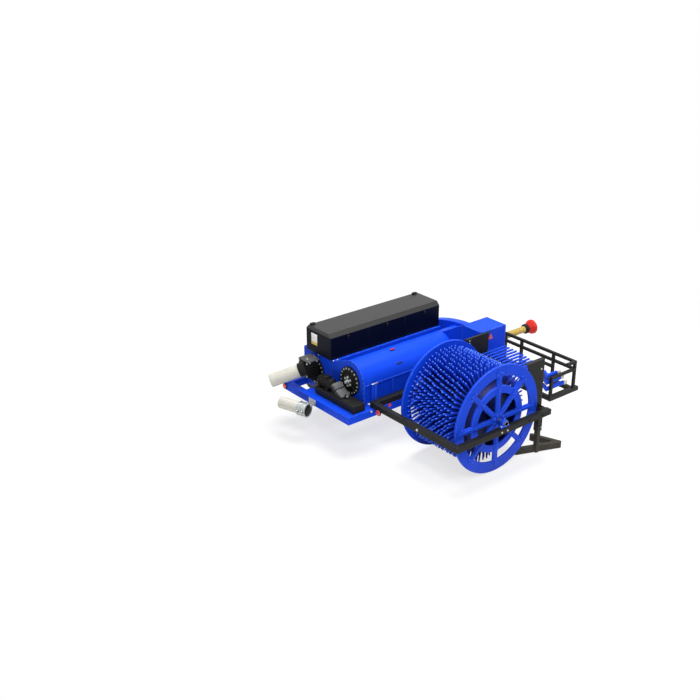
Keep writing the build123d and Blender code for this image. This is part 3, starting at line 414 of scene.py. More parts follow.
softenedEdges = {
    # bevel in millimetres: nodes
    8.0: ("drive_base", "pto_gearbox"),
    6.0: ("base_frame", "gathering_bars"),
    5.0: ("front_frame", "pickup_frame", "right_stand_leg", "left_stand_leg", "left_axle"),
    4.0: ("headstock", "cross_casing", "pickup_bearings"),
    3.0: ("hood_lid", "feed_box", "outer_disc", "inner_disc", "slat_bars", "stripper_slats", "stand_sleeves"),
    2.0: ("hood_body", "rear_end_plate"),
    1.5: ("outer_stripper_plate", "inner_stripper_plate"),
}
softening = {
    # modifier: its settings
    "WELD": {"merge_threshold": 0.01 * mm},
    "DECIMATE": {"decimate_type": "DISSOLVE", "angle_limit": math.radians(0.5)},
    "BEVEL": {"segments": 2, "limit_method": "ANGLE", "angle_limit": math.radians(40.0),
              "use_clamp_overlap": True},
    "WEIGHTED_NORMAL": {"keep_sharp": False, "weight": 60},
}


def dressNodes():
    for material, names in nodeFinishes.items():
        for name in names:
            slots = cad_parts[name].data.materials
            slots.clear()
            slots.append(material)
    for width, names in softenedEdges.items():
        for name in names:
            for kind, settings in softening.items():
                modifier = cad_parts[name].modifiers.new(kind.lower(), kind)
                for setting, value in settings.items():
                    setattr(modifier, setting, value)
                if kind == "BEVEL":
                    modifier.width = width * mm


dressNodes()
print("frame dressed")


# Small tools for meshes: every shape is drawn in millimetres, and addPiece turns it into metres

def nodeBox(name):
    return [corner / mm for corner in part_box(name)]


def newMeshes(count):
    return [bmesh.new() for k in range(count)]


def turns(count, shift=0):
    # angles of even steps round a circle
    return [2 * math.pi * (k + shift) / count for k in range(count)]


def turnTo(direction):
    # rotation that takes +Z to the given direction
    return Vector(direction).normalized().to_track_quat("Z", "Y").to_matrix().to_4x4()


def addBox(bm, low, high, rounding=0, turn=None):
    low, high = (Vector([*map(pick, low, high)]) for pick in (min, max))
    matrix = Matrix.Translation((low + high) / 2) @ (turn or Matrix.Identity(4))
    made = bmesh.ops.create_cube(bm, size=1.0, matrix=matrix @ Matrix.Diagonal((*(high - low), 1.0)))
    if rounding > 0:
        edges = list({edge for vertex in made["verts"] for edge in vertex.link_edges})
        bmesh.ops.bevel(bm, geom=edges, offset=rounding, segments=2, profile=0.5, affect="EDGES",
                        clamp_overlap=True)


def addBlock(bm, middle, half, rounding=0, turn=None):
    # box from its middle and half its size
    half = Vector(half)
    addBox(bm, middle - half, middle + half, rounding, turn)


def addRod(bm, start, end, radius, sides=20, endRadius=None):
    start, end = Vector(start), Vector(end)
    bmesh.ops.create_cone(bm, cap_ends=True, segments=sides, radius1=radius,
                          radius2=radius if endRadius is None else endRadius, depth=(end - start).length,
                          matrix=Matrix.Translation((start + end) / 2) @ turnTo(end - start))


def joinRows(bm, rows):
    # faces between rings of vertices, where a ring may be one point
    for rowA, rowB in zip(rows, rows[1:]):
        sides = max(len(rowA), len(rowB))
        for i in range(sides):
            k = (i + 1) % sides
            corners = (rowA[i % len(rowA)], rowA[k % len(rowA)], rowB[k % len(rowB)], rowB[i % len(rowB)])
            bm.faces.new(tuple(dict.fromkeys(corners)))


def closeRows(bm, rows):
    # the same, with a face over both ends
    joinRows(bm, rows)
    bm.faces.new(rows[0][::-1])
    bm.faces.new(rows[-1])


def addTurned(bm, start, direction, profile, sides=48):
    # turned shape round a line: profile holds (distance along it, radius), and a radius of 0 closes an end
    matrix = Matrix.Translation(Vector(start)) @ turnTo(direction)
    joinRows(bm, [
        [bm.verts.new(matrix @ Vector((radius * math.cos(a), radius * math.sin(a), along)))
         for a in (turns(sides) if radius > 0 else (0,))]
        for along, radius in profile
    ])


def addPath(bm, points, radii, sides=24):
    # round tube along points, with one radius per point, closed at its ends
    points = [Vector(point) for point in points]
    rows, side = [], None
    for i, point in enumerate(points):
        ahead = (points[min(i + 1, len(points) - 1)] - points[max(i - 1, 0)]).normalized()
        if side is None:
            side = ahead.orthogonal().normalized()
        side = (side - ahead * side.dot(ahead)).normalized()
        up = ahead.cross(side)
        rows.append([bm.verts.new(point + radii[i] * (math.cos(a) * side + math.sin(a) * up))
                     for a in turns(sides)])
    closeRows(bm, rows)


def addPlate(bm, outline, thickness, toSpace):
    # flat plate from a 2D outline: toSpace places (u, v, w), with w from 0 to the thickness
    closeRows(bm, [[bm.verts.new(toSpace(u, v, w)) for u, v in outline] for w in (0, thickness)])


boltShape = (
    # from, to, radius and end radius as shares of the thread size, sides: washer, head, rounded top
    (0, 0.2, 1.15, 1.15, 14),
    (0.2, 0.7, 0.95, 0.95, 6),
    (0.7, 0.88, 0.95, 0.684, 6),
)


def addBolt(bm, place, direction, size):
    place, direction = Vector(place), Vector(direction).normalized()
    for low, high, radius, endRadius, sides in boltShape:
        addRod(bm, place + direction * size * low, place + direction * size * high, size * radius, sides,
               size * endRadius)


def addBoltRing(bm, centre, direction, circle, count, size):
    for angle in turns(count, 0.5):
        out = turnTo(direction) @ Vector((math.cos(angle), math.sin(angle), 0))
        addBolt(bm, Vector(centre) + out * circle, direction, size)


def addRivet(bm, place, direction, radius=4):
    addTurned(bm, place, direction, [
        (radius * rise, radius * share) for rise, share in ((0, 1), (0.3, 0.92), (0.55, 0.6), (0.65, 0))], 10)


def addPiece(name, bm, material, smoothAngle=32.0, body="chassis"):
    bmesh.ops.recalc_face_normals(bm, faces=bm.faces)
    bmesh.ops.scale(bm, vec=(mm, mm, mm), verts=bm.verts)
    mesh = bpy.data.meshes.new(name)
    bm.to_mesh(mesh)
    bm.free()
    mesh.polygons.foreach_set("use_smooth", [True] * len(mesh.polygons))
    mesh.set_sharp_from_angle(angle=math.radians(smoothAngle))
    piece = bpy.data.objects.new(name, mesh)
    bpy.context.scene.collection.objects.link(piece)
    mesh.materials.append(material)
    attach(piece, body)
    return piece


# Spiked pickup drum

spikes = {
    "rings": 14,
    "perRing": 60,
    "twist": -0.25,  # turn of each row from the outer disc to the inner one, in radians
    "bareWidth": 150,  # no spikes this near the outer disc
    "jitter": 0.012,
    "sunk": 2,
    "root": (18.2, 8, 14),  # radius at the foot, length of its taper, radius above it
    "middle": (0.85, 12),  # share of the length, radius
    "point": ((8, 10), (2, 5), (0, 0)),  # distance from the tip, radius
    "sides": 8,
    "coreRadius": 450,
    "coreWall": 8,
    "recess": 80,
    "boreRadius": 90,
    "tipRadius": 690,
    "lengthSpread": 6,
    "seed": 7,
}


def makeSpikedDrum():
    low, high = nodeBox("spiked_drum")
    axle = Vector(((low.x + high.x) / 2, low.y, (low.z + high.z) / 2))
    draw = random.Random(spikes["seed"])
    core, wall, bore, recess, sunk = (
        spikes[k] for k in ("coreRadius", "coreWall", "boreRadius", "recess", "sunk"))
    width, inner = high.y - low.y, core - wall
    bm = bmesh.new()
    addTurned(bm, axle, alongY, [
        (0, inner), (0, core), (width, core), (width, inner), (width - recess, inner), (width - recess, bore),
        (width - recess - wall, bore), (width - recess - wall, inner), (recess + wall, inner),
        (recess + wall, bore), (recess, bore), (recess, inner), (0, inner),
    ], 96)
    footRadius, taper, rootRadius = spikes["root"]
    middleShare, middleRadius = spikes["middle"]
    for ring in range(spikes["rings"]):
        share = (ring + 0.5) / spikes["rings"]
        along = spikes["bareWidth"] + (width - spikes["bareWidth"]) * share
        for angle in turns(spikes["perRing"]):
            angle += spikes["twist"] * share + draw.uniform(-spikes["jitter"], spikes["jitter"])
            out = Vector((math.cos(angle), draw.uniform(-2, 2) * spikes["jitter"], math.sin(angle)))
            tip = spikes["tipRadius"] - core + sunk - draw.uniform(0, spikes["lengthSpread"])
            addTurned(bm, axle + alongY * along + out * (core - sunk), out, [
                (0, footRadius), (taper, rootRadius), (tip * middleShare, middleRadius),
                *((tip - back, radius) for back, radius in spikes["point"]),
            ], spikes["sides"])
    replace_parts(addPiece("spikedDrum", bm, spikeEnamel, body="pickup_wheel"), "spiked_drum")


# Outlet spouts: ribbed white hose stubs that lead back to the left

spouts = {
    "pipes": (
        # name, CAD node, start, direction, radius, length
        ("seedSpout", "seed_spout", (-1657.1, 1036.0, 861.3), (-0.71026, 0.59598, -0.37461), 95, 490),
        ("drainSpout", "drain_spout", (-1909.4, 600.0, 470.0), (-0.3007, 0.9537, 0.0), 85, 460),
    ),
    "pitch": 14,
    "groove": ((0.25, 2.2), (0.5, 2.2), (0.75, 0), (1, 0)),  # share of the pitch, depth
    "wall": 6,
    "cuff": 45,
    "lip": 2,
}


def makeSpouts():
    pitch, wall, cuff, lip = (spouts[k] for k in ("pitch", "wall", "cuff", "lip"))
    for name, node, start, direction, radius, length in spouts["pipes"]:
        profile = [(0, radius - wall), (0, radius), (cuff, radius)]
        for i in range(int((length - 2 * cuff) / pitch)):
            profile += [(cuff + (i + share) * pitch, radius - depth) for share, depth in spouts["groove"]]
        profile += [(length - lip, radius), (length, radius - lip)]
        profile += [(length, radius - wall), (0, radius - wall)]
        bm = bmesh.new()
        addTurned(bm, start, direction, profile)
        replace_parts(addPiece(name, bm, whiteHose, 40.0), node)


# Drain coupling: a galvanised split band with flanged, bolted joints on a bracket from the rear rail

coupling = {
    "band": ((0, 86), (0, 101), (14, 101), (16, 92), (63, 92), (63, 101), (77, 101), (77, 92), (124, 92),
             (126, 101), (140, 101), (140, 86), (0, 86)),
    "cap": ((-20, 86), (0, 87), (4, 82), (12, 60.2), (16, 25.8), (17, 0)),
    "capGap": 2,
    "earPlaces": (33.6, 106.4),  # along the band
    "earReach": 109,
    "earHalf": (14, 9, 16),
    "earBolt": 10,
    "arm": ((605, 505), (685, 540)),  # y and z of the bracket's arm
    "pad": ((570, 505), (720, 595)),  # y and z of its pad on the rear rail
    "padThickness": 6,
    "padBolts": (590, 645, 700),
    "padBoltZ": 570,
    "padBolt": 12,
}


def makeCoupling():
    start, direction = (Vector(value) for value in spouts["pipes"][1][2:4])
    band, cap, bolts = newMeshes(3)
    addTurned(band, start, direction, coupling["band"])
    addTurned(cap, start + direction * coupling["capGap"], -direction, coupling["cap"])
    addPiece("drainCouplingCap", cap, castBlack)
    across = direction.cross(alongZ)
    turn = Matrix((across, direction, alongZ)).transposed().to_4x4()
    half = Vector(coupling["earHalf"])
    for side in (-1, 1):  # ears of the split, with the two clamp bolts through them
        for along in coupling["earPlaces"]:
            ear = start + direction * along + across * side * coupling["earReach"]
            addBlock(band, ear, half, 3, turn)
            for up in (alongZ, -alongZ):
                addBolt(bolts, ear + up * half.z, up, coupling["earBolt"])
    railX = nodeBox("drain_coupling")[1].x
    (armLow, armHigh), (padLow, padHigh) = coupling["arm"], coupling["pad"]
    addBox(band, (start.x, *armLow), (railX, *armHigh), 4)
    for y in coupling["padBolts"]:
        addBolt(bolts, (railX, y, coupling["padBoltZ"]), -alongX, coupling["padBolt"])
    addBox(band, (railX - coupling["padThickness"], *padLow), (railX, *padHigh), 2)
    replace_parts(addPiece("drainCouplingBand", band, galvanised), "drain_coupling")
    addPiece("drainCouplingBolts", bolts, zincBolts)


# Drum end flanges: cast covers, one with a ribbed bearing hub and its shaft end, and the bolts round them

flanges = {
    "centres": ((280, 895, True), (1050, 780, False)),  # y, z, with a bearing hub
    "thickness": 20,
    "cover": ((0, 0), (0, 200), (17, 200), (20, 197), (20, 155), (14, 150)),
    "hub": ((14, 98), (20, 90), (41, 90), (45, 86), (45, 0)),
    "blank": ((14, 0),),
    "hubLength": 45,
    "shaft": ((0, 36), (6, 36), (7, 24), (43, 24), (45, 22), (45, 0)),
    "bolts": (174, 18, 10.5),  # circle, count, thread
    "hubBolts": (62, 6, 16),
    "ribCount": 8,
    "ribPlace": (125, 18),  # distance from the centre, height
    "ribHalf": (8, 32, 5),
}


def makeFlanges():
    wall = nodeBox("drum_end_flanges")[1].x
    cast, bolts = newMeshes(2)
    for y, z, hub in flanges["centres"]:
        start = Vector((wall, y, z))
        addTurned(cast, start, -alongX, flanges["cover"] + flanges["hub" if hub else "blank"], 72)
        addBoltRing(bolts, start - alongX * flanges["thickness"], -alongX, *flanges["bolts"])
        if hub:
            out, height = flanges["ribPlace"]
            for angle in turns(flanges["ribCount"]):
                turn = Matrix.Rotation(angle, 4, "X")
                addBlock(cast, start + turn @ (alongY * out) - alongX * height, flanges["ribHalf"], 1.5, turn)
            end = start - alongX * flanges["hubLength"]
            addTurned(bolts, end, -alongX, flanges["shaft"], 32)
            addBoltRing(bolts, end, -alongX, *flanges["hubBolts"])
    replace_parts(addPiece("drumFlanges", cast, castBlack), "drum_end_flanges")
    addPiece("drumFlangeBolts", bolts, galvanised)


# Seed pump: cast body with cooling ribs, a pale chamfered cap, and the rubber cuff of its spout

pump = {
    "low": (-1650, 935, 740),
    "high": (-1450, 1165, 1015),
    "rounding": 14,
    "ribCount": 5,
    "ribDepth": 8,
    "ribHalf": 6,
    "ribEnds": (30, 20),  # how far the ribs stop short of the rear and the front face
    "ribMargin": 30,  # from the body's foot and top
    "capRise": 34,
    "capInset": 40,
    "capRows": ((0.0, 0.0), (0.35, 0.08), (0.85, 0.8), (1.0, 1.0)),  # shares of the rise and of the inset
    "cuffStart": (-1630.0, 1013.2, 875.5),
    "cuff": ((0, 96), (0, 103), (62, 103), (64, 100), (76, 100), (78, 104), (94, 104), (96, 102), (96, 96),
             (0, 96)),
    "footZ": 720,
    "bolt": 12,
}


def makePump():
    low, high = Vector(pump["low"]), Vector(pump["high"])
    top, depth, size = high.z - pump["capRise"], pump["ribDepth"], pump["bolt"]
    body, cap, cuff, foot, bolts = newMeshes(5)
    addBox(body, (low.x, low.y + depth, low.z), (high.x, high.y, top), pump["rounding"])
    (rear, front), half, margin = pump["ribEnds"], pump["ribHalf"], pump["ribMargin"]
    for i in range(pump["ribCount"]):
        z = low.z + margin + (top - low.z - 2 * margin) * i / (pump["ribCount"] - 1)
        addBox(body, (low.x + rear, low.y, z - half), (high.x - front, low.y + 2 * depth, z + half), 3)
    addTurned(cuff, pump["cuffStart"], spouts["pipes"][0][3], pump["cuff"])
    rows = []
    for rise, pull in pump["capRows"]:
        z, inset = top + pump["capRise"] * rise, pump["capInset"] * pull
        x0, x1, y0, y1 = low.x + inset, high.x - inset / 2, low.y + inset, high.y - inset
        rows.append([cap.verts.new((x, y, z)) for x, y in ((x0, y0), (x1, y0), (x1, y1), (x0, y1))])
    closeRows(cap, rows)
    bmesh.ops.bevel(cap, geom=cap.edges[:], offset=3, segments=2, affect="EDGES")
    for y in (low.y + 28, high.y - 28):
        for z in (low.z + 28, top - 24):
            addBolt(bolts, (low.x, y, z), -alongX, size)
    for x in (low.x + 40, high.x - 40):
        addBolt(bolts, (x, low.y + depth, top - 14), -alongY, size)
        addBolt(bolts, (x, low.y + 70, high.z - 10), alongZ, size)
    addBox(foot, (low.x + 40, low.y - 30, pump["footZ"]), (high.x, high.y + 12, low.z + 12), 5)
    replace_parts(addPiece("seedPumpBody", body, castBlack), "seed_pump")
    addPiece("seedPumpCuff", cuff, blackPlastic, 40.0)
    addPiece("seedPumpCap", cap, castGrey)
    addPiece("seedPumpFoot", foot, castBlack)
    addPiece("seedPumpBolts", bolts, zincBolts)


# Rear floor plate over the frame's opening, and the brass grease block that stands on it

greaseBlock = {
    "plateLow": (-1700, 720, 606),
    "plateHigh": (-1430, 905, 614),
    "low": (-1605, 770, 614),
    "high": (-1515, 860, 690),
    "flange": (14, 10, 10),  # how far it stands out along x and y, and its height
    "nipples": ((-1585, 790), (-1535, 790), (-1585, 840), (-1535, 840)),
    "nipple": ((0, 0), (0, 12), (10.8, 12), (11.52, 8), (21.6, 8), (22.32, 4.8), (30.6, 4.8), (31.68, 6.4),
               (34.56, 5.6), (36, 0)),
}


def makeGreaseBlock():
    plate, block, fittings = newMeshes(3)
    addBox(plate, greaseBlock["plateLow"], greaseBlock["plateHigh"], 1.5)
    low, high = Vector(greaseBlock["low"]), Vector(greaseBlock["high"])
    addBox(block, low, high, 5)
    outX, outY, rise = greaseBlock["flange"]
    addBox(block, (low.x - outX, low.y - outY, low.z), (high.x + outX, high.y + outY, low.z + rise), 3)
    for x, y in greaseBlock["nipples"]:
        addTurned(fittings, (x, y, high.z), alongZ, greaseBlock["nipple"], 12)
    addPiece("rearFloorPlate", plate, blueEnamel)
    addPiece("greaseBlock", block, brass)
    addPiece("greaseNipples", fittings, brass, 40.0)


# Drive unit: finned motor, and two grey gear housings tilted on their feet

motor = {
    "axis": (-1580, 800),  # x, z
    "radius": 80,
    "finCount": 28,
    "finHeight": 9,
    "finPlace": 74,
    "finHalf": (5.5, 36, 2),  # half height, how far it stops short of the ends, half thickness
    "bareBelow": -0.75,  # no fins where the sine of their angle is lower
    "cap": ((0, 0), (0, 66), (6, 76), (12, 79), (24.75, 79), (27, 71)),
    "fanCover": ((45, 71), (43, 79), (16, 79), (4, 70), (0, 50), (0, 0)),  # distance from the end, radius
    "feet": (524, 686),
    "footHalf": 18,
    "footRise": 30,
    "box": ((-1625, 560, 862), (-1535, 650, 897)),
}
gearbox = {
    "blocks": (
        # middle, half size, tilt towards the right in degrees
        ((-1580, 373, 816), (75, 47, 40), 35.0),
        ((-1580, 265, 743), (75, 69, 40), 31.0),
    ),
    "coverShare": 0.6,  # of the half height, above; the black sump is the rest, with a seam that stands out
    "seam": 4,
    "ribCount": 5,
    "ribSpan": 0.8,
    "ribHalf": (3.5, 6, 1.75),  # half thickness, how far it stops short of the ends, half height
    "footTop": 743,
    "footOut": 12,
    "link": 38,  # radius of the black tube between the housings
    "inputZ": 800,
    "input": ((0, 102, 50), (78, 96, 64)),  # from, to, radius of the adaptor between motor and housing
    "output": (102, 2),  # shaft end: how far right of the second housing's middle, how far above it
}


def makeMotor():
    low, high = nodeBox("drive_motor")
    axisX, axisZ = motor["axis"]
    radius, length = motor["radius"], high.y - low.y
    bm = bmesh.new()
    addTurned(bm, (axisX, low.y, axisZ), alongY,
              [*motor["cap"], *((length - back, r) for back, r in motor["fanCover"])], 64)
    finRise, short, finThick = motor["finHalf"]
    middle = Vector((axisX, low.y + length / 2, axisZ))
    for angle in turns(motor["finCount"]):
        if math.sin(angle) >= motor["bareBelow"]:
            turn = Matrix.Rotation(-angle, 4, "Y")
            fin = middle + turn @ (alongX * motor["finPlace"])
            addBlock(bm, fin, (finRise, length / 2 - short, finThick), 0.8, turn)
    half, rise = motor["footHalf"], motor["footRise"]
    for y in motor["feet"]:
        addBox(bm, (axisX - radius, y - half, low.z), (axisX + radius, y + half, low.z + rise), 4)
    addBox(bm, *motor["box"], 6)
    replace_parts(addPiece("driveMotorFinned", bm, castBlack), "drive_motor")


def makeGearbox():
    floor, foot = nodeBox("drive_gearbox")[0].z, gearbox["footTop"]
    grey, black, bolts = newMeshes(3)
    share, seam = gearbox["coverShare"], gearbox["seam"]
    ribThick, ribShort, ribRise = gearbox["ribHalf"]
    for place, half, tilt in gearbox["blocks"]:
        middle, half = Vector(place), Vector(half)
        turn = Matrix.Rotation(math.radians(tilt), 4, "X")
        cover = middle + turn @ Vector((0, 0, half.z * (1 - share)))
        addBlock(grey, cover, (half.x, half.y, half.z * share), 6, turn)
        for i in range(gearbox["ribCount"]):
            x = half.x * gearbox["ribSpan"] * (2 * i / (gearbox["ribCount"] - 1) - 1)
            addBlock(grey, middle + turn @ Vector((x, 0, half.z + ribRise - 1)),
                     (ribThick, half.y - ribShort, ribRise), 1.5, turn)
        sump = middle - turn @ Vector((0, 0, half.z * share))
        addBlock(black, sump, (half.x + seam, half.y + seam, half.z * 0.5), 6, turn)
        addBox(black, (middle.x - half.x, middle.y - half.y * 0.8, floor),
               (middle.x + half.x, middle.y + half.y * 0.8, middle.z - 10), 6)
        reach = half.x + gearbox["footOut"]
        addBox(black, (middle.x - reach, middle.y - half.y, floor),
               (middle.x + reach, middle.y + half.y, foot), 4)
        for sideX in (-1, 1):
            for sideY in (-1, 1):
                x, y = middle.x + sideX * (half.x + 5), middle.y + sideY * half.y * 0.7
                addBolt(black, (x, y, foot), alongZ, 8)
                corner = Vector((-half.x, sideY * half.y * 0.75, half.z * (0.4 + 0.3 * sideX)))
                addBolt(grey, middle + turn @ corner, -alongX, 7)
    first, second = (Vector(place) for place, half, tilt in gearbox["blocks"])
    addRod(black, second, first, gearbox["link"], 32)
    axis = Vector((first.x - 10, first.y, gearbox["inputZ"]))
    for start, end, radius in gearbox["input"]:
        addRod(black, axis + alongY * start, axis + alongY * end, radius, 40)
    out, up = gearbox["output"]
    end = second - alongY * out + alongZ * up
    addRod(bolts, end + alongY * 20, end - alongY * 20, 15, 24)
    addRod(black, end + alongY * 28, end - alongY * 6, 24, 32)
    addBoltRing(bolts, end - alongY * 6, -alongY, 18, 5, 5)
    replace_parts(addPiece("gearHousings", grey, castGrey), "drive_gearbox")
    addPiece("gearHousingFeet", black, castBlack)
    addPiece("gearHousingBolts", bolts, zincBolts)


# Left ground wheel: tyre with rows of tread blocks, pressed rim, hub cap and studs

wheel = {
    "treadDepth": 11,
    "blocksPerRow": 44,
    "blockRows": (-0.36, -0.13, 0.13, 0.36),
    "blockTurn": 0.35,
    "blockLength": 24,  # half of it
    "blockShare": 0.36,  # half of its width, as a share of the step round the tyre
    "shoulder": 0.3,
    "beadRadius": 195,
    "aboveBead": ((0.78, 1), (0.86, 12), (0.93, 28), (0.99, 75)),  # share of the half width, height
    "belowCrown": ((1.0, 95), (0.985, 60), (0.93, 26), (0.80, 8), (0.5, 1), (0, 0)),
    "inside": (0.5, -2),
    # along the axle, radius
    "rim": ((-115, 195), (-115, 189), (-103, 185), (-85, 169), (-10, 161), (8, 155), (14, 125), (2, 103),
            (0, 76), (-8, 76), (-8, 105), (2, 123), (-4, 147), (85, 161), (103, 177), (115, 183), (115, 195),
            (101, 195), (95, 189), (-95, 189), (-101, 195), (-115, 195)),
    "studs": (105, 6, 16),  # circle, count, thread
    "hubCap": ((0, 0), (0, 50), (12, 48), (26, 34), (28, 0)),
    "hubCapPlace": 60,
}


def makeTyre():
    low, high = nodeBox("left_tyre")
    middle = (low + high) / 2
    radius, half, depth = (high.z - low.z) / 2, (high.y - low.y) / 2, wheel["treadDepth"]
    bead, crown = wheel["beadRadius"], radius - depth
    outline = [(-half * share, bead + rise) for share, rise in wheel["aboveBead"]]
    outline += [(-half * share, crown - drop) for share, drop in wheel["belowCrown"]]
    outline += [(-along, r) for along, r in reversed(outline[:-1])]
    share, rise = wheel["inside"]
    outline += [(half * share, bead + rise), (-half * share, bead + rise), outline[0]]
    bm = bmesh.new()
    addTurned(bm, middle, alongY, outline, 96)
    step = 2 * math.pi / wheel["blocksPerRow"]
    for row, share in enumerate(wheel["blockRows"]):
        lean = Matrix.Rotation(math.copysign(wheel["blockTurn"], share), 4, "X")
        sunk, thinner = (4, 0) if abs(share) > wheel["shoulder"] else (1.5, 1)
        size = (depth / 2 - thinner, wheel["blockLength"], radius * step * wheel["blockShare"])
        for k in range(wheel["blocksPerRow"]):
            spin = Matrix.Rotation(-step * (k + 0.5 * (row % 2)), 4, "Y")
            place = middle + alongY * half * 2 * share + spin @ Vector((crown + depth / 2 - sunk, 0, 0))
            addBlock(bm, place, size, 2, spin @ lean)
    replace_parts(addPiece("groundTyre", bm, tyreRubber, 45.0, "left_wheel"), "left_tyre")


def makeRim():
    low, high = nodeBox("left_rim")
    middle = (low + high) / 2
    rim, studs = newMeshes(2)
    addTurned(rim, middle, alongY, wheel["rim"], 72)
    addBoltRing(studs, middle + alongY * 2, alongY, *wheel["studs"])
    addTurned(studs, middle + alongY * wheel["hubCapPlace"], alongY, wheel["hubCap"], 32)
    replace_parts(addPiece("groundWheelRim", rim, rimEnamel, 40.0, "left_wheel"), "left_rim")
    addPiece("groundWheelStuds", studs, zincBolts, body="left_wheel")


# Drive line: ribbed yellow tube between two ribbed red cones, and the splined end of the shaft

driveLine = {
    "ribPitch": 34,
    "groove": ((0.55, 0), (0.62, 3), (0.88, 3), (0.95, 0)),  # share of the pitch, depth
    "wall": 5,
    "coneRibs": 7,
    "coneFlare": 1.25,  # the cone is at full width this much earlier
    "coneGroove": ((0.75, 4), (0.5, 0), (0.1, 0), (0, 4)),  # share of the step before its end, depth
    "collar": (60, 75),  # half length and radius of the black bearing collars of the tube
    "shaft": 17,
    "yoke": (34, 135),  # radius and length of the sliding collar at the end
    # distance from the end, depth
    "yokeSteps": ((133, 8), (95, 8), (93, 0), (62, 0), (60, 4), (48, 4), (46, 0), (4, 0), (0, 4)),
    "bore": (17.5, 70),
    "splines": 6,
}


def makeDriveLineCover():
    low, high = nodeBox("pto_guard")
    axis = Vector((0, (low.y + high.y) / 2, (low.z + high.z) / 2))
    radius, length = (high.z - low.z) / 2, high.x - low.x
    pitch, wall = driveLine["ribPitch"], driveLine["wall"]
    tube, cones, collars = newMeshes(3)
    profile = [(0, radius - wall), (0, radius)]
    for i in range(int(length / pitch)):
        profile += [((i + share) * pitch, radius - depth) for share, depth in driveLine["groove"]]
    profile += [(length, radius), (length, radius - wall), (0, radius - wall)]
    addTurned(tube, axis + alongX * low.x, alongX, profile, 40)
    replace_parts(addPiece("driveLineTube", tube, yellowGuard, 40.0), "pto_guard")
    coneLow, coneHigh = nodeBox("pto_cones")
    wide = (coneHigh.z - coneLow.z) / 2
    half, collar = driveLine["collar"]
    for start, side, reach in ((low.x, -1, low.x - coneLow.x), (high.x, 1, coneHigh.x - high.x)):
        step = reach / driveLine["coneRibs"]
        profile = [(0, radius - 4), (0, radius)]
        for i in range(driveLine["coneRibs"]):
            along = step * (i + 1)
            here = radius + (wide - radius) * min(1.0, driveLine["coneFlare"] * along / reach)
            profile += [(along - step * share, here - depth) for share, depth in driveLine["coneGroove"]]
        inner = [(along, r - wall) for along, r in reversed(profile[1:])]
        addTurned(cones, axis + alongX * start, alongX * side, profile + inner + [profile[0]])
        addTurned(collars, axis + alongX * (start - side * half), alongX * side, [
            (0, radius - 2), (0, radius + 4), (10, collar - 8), (20, collar), (half - 4, collar),
            (half, collar - 6), (half, radius - 2), (0, radius - 2),
        ])
    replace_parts(addPiece("driveLineCones", cones, redCone, 40.0), "pto_cones")
    addPiece("driveLineCollars", collars, blackPlastic, 40.0)


def makeDriveLineShaft():
    low, high = nodeBox("pto_shaft")
    axis = Vector((0, (low.y + high.y) / 2, (low.z + high.z) / 2))
    radius, (yoke, yokeLength), (bore, depth) = driveLine["shaft"], driveLine["yoke"], driveLine["bore"]
    length = high.x - low.x
    bm = bmesh.new()
    addTurned(bm, axis + alongX * low.x, alongX, [
        (0, 0), (0, radius), (length - yokeLength, radius),
        *((length - back, yoke - drop) for back, drop in driveLine["yokeSteps"]),
        (length, bore + 1), (length - 2, bore), (length - depth, bore), (length - depth, 0),
    ], 40)
    middle = axis + alongX * (high.x - depth / 2)
    for angle in turns(driveLine["splines"]):
        turn = Matrix.Rotation(angle, 4, "X")
        addBlock(bm, middle + turn @ (alongZ * (bore - 1)), (depth / 2 - 2, 3, 1.5), 0, turn)
    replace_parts(addPiece("driveLineShaft", bm, brightSteel, 40.0, "pto_line"), "pto_shaft")


# Input gearbox: cast body with ribs and a flange, bearing cover, sight glass and breather

inputBox = {
    "rounding": 16,
    "ribs": 4,
    "ribStart": 38,
    "ribPitch": 28,
    "ribHalf": 4,
    "ribRise": 8,
    "frontGap": 14,
    "flange": 16,
    "cover": ((0, 78), (8, 78), (10, 76), (10, 40), (16, 36), (16, 19), (0, 19), (0, 78)),
    "coverBolts": (64, 6, 10),  # circle, count, thread
    "breather": ((0, 0), (0, 12), (8, 12), (9, 8), (16, 8), (18, 5), (18, 0)),
    "sightGlass": ((0, 0), (0, 17), (5, 17), (6, 13), (4, 12), (4, 0)),
}


def makeInputBox():
    low, high = nodeBox("pto_gearbox")
    middle = (low + high) / 2
    grey, bolts = newMeshes(2)
    rib, half, flange = inputBox["ribRise"], inputBox["ribHalf"], inputBox["flange"]
    addBox(grey, (low.x, low.y + rib, low.z + rib),
           (high.x - inputBox["frontGap"], high.y - rib, high.z - rib), inputBox["rounding"])
    addBox(grey, low, (low.x + flange, high.y, high.z), 5)
    for i in range(inputBox["ribs"]):
        x = low.x + inputBox["ribStart"] + i * inputBox["ribPitch"]
        for side in (-1, 1):
            y = middle.y + side * (high.y - middle.y - rib)
            addBox(grey, (x - half, y, low.z + 30), (x + half, y + side * rib, high.z - 30), 2)
        addBox(grey, (x - half, low.y + 34, high.z - rib - 2), (x + half, high.y - 34, high.z), 2)
    addTurned(grey, (high.x - 16, middle.y, middle.z), alongX, inputBox["cover"])
    addBoltRing(bolts, (high.x - 6, middle.y, middle.z), alongX, *inputBox["coverBolts"])
    for y in (low.y + 14, high.y - 14):
        for z in (low.z + 14, high.z - 14):
            addBolt(bolts, (low.x + flange, y, z), alongX, 12)
    addTurned(bolts, (middle.x + 10, middle.y + 40, high.z - rib), alongZ, inputBox["breather"], 16)
    addTurned(bolts, (middle.x, low.y + rib, middle.z), -alongY, inputBox["sightGlass"], 24)
    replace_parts(addPiece("inputGearbox", grey, castGrey), "pto_gearbox")
    addPiece("inputGearboxBolts", bolts, zincBolts)


# Pickup wheel's fastenings: hub bolts, rim bolts at the spokes, end nuts of the axle

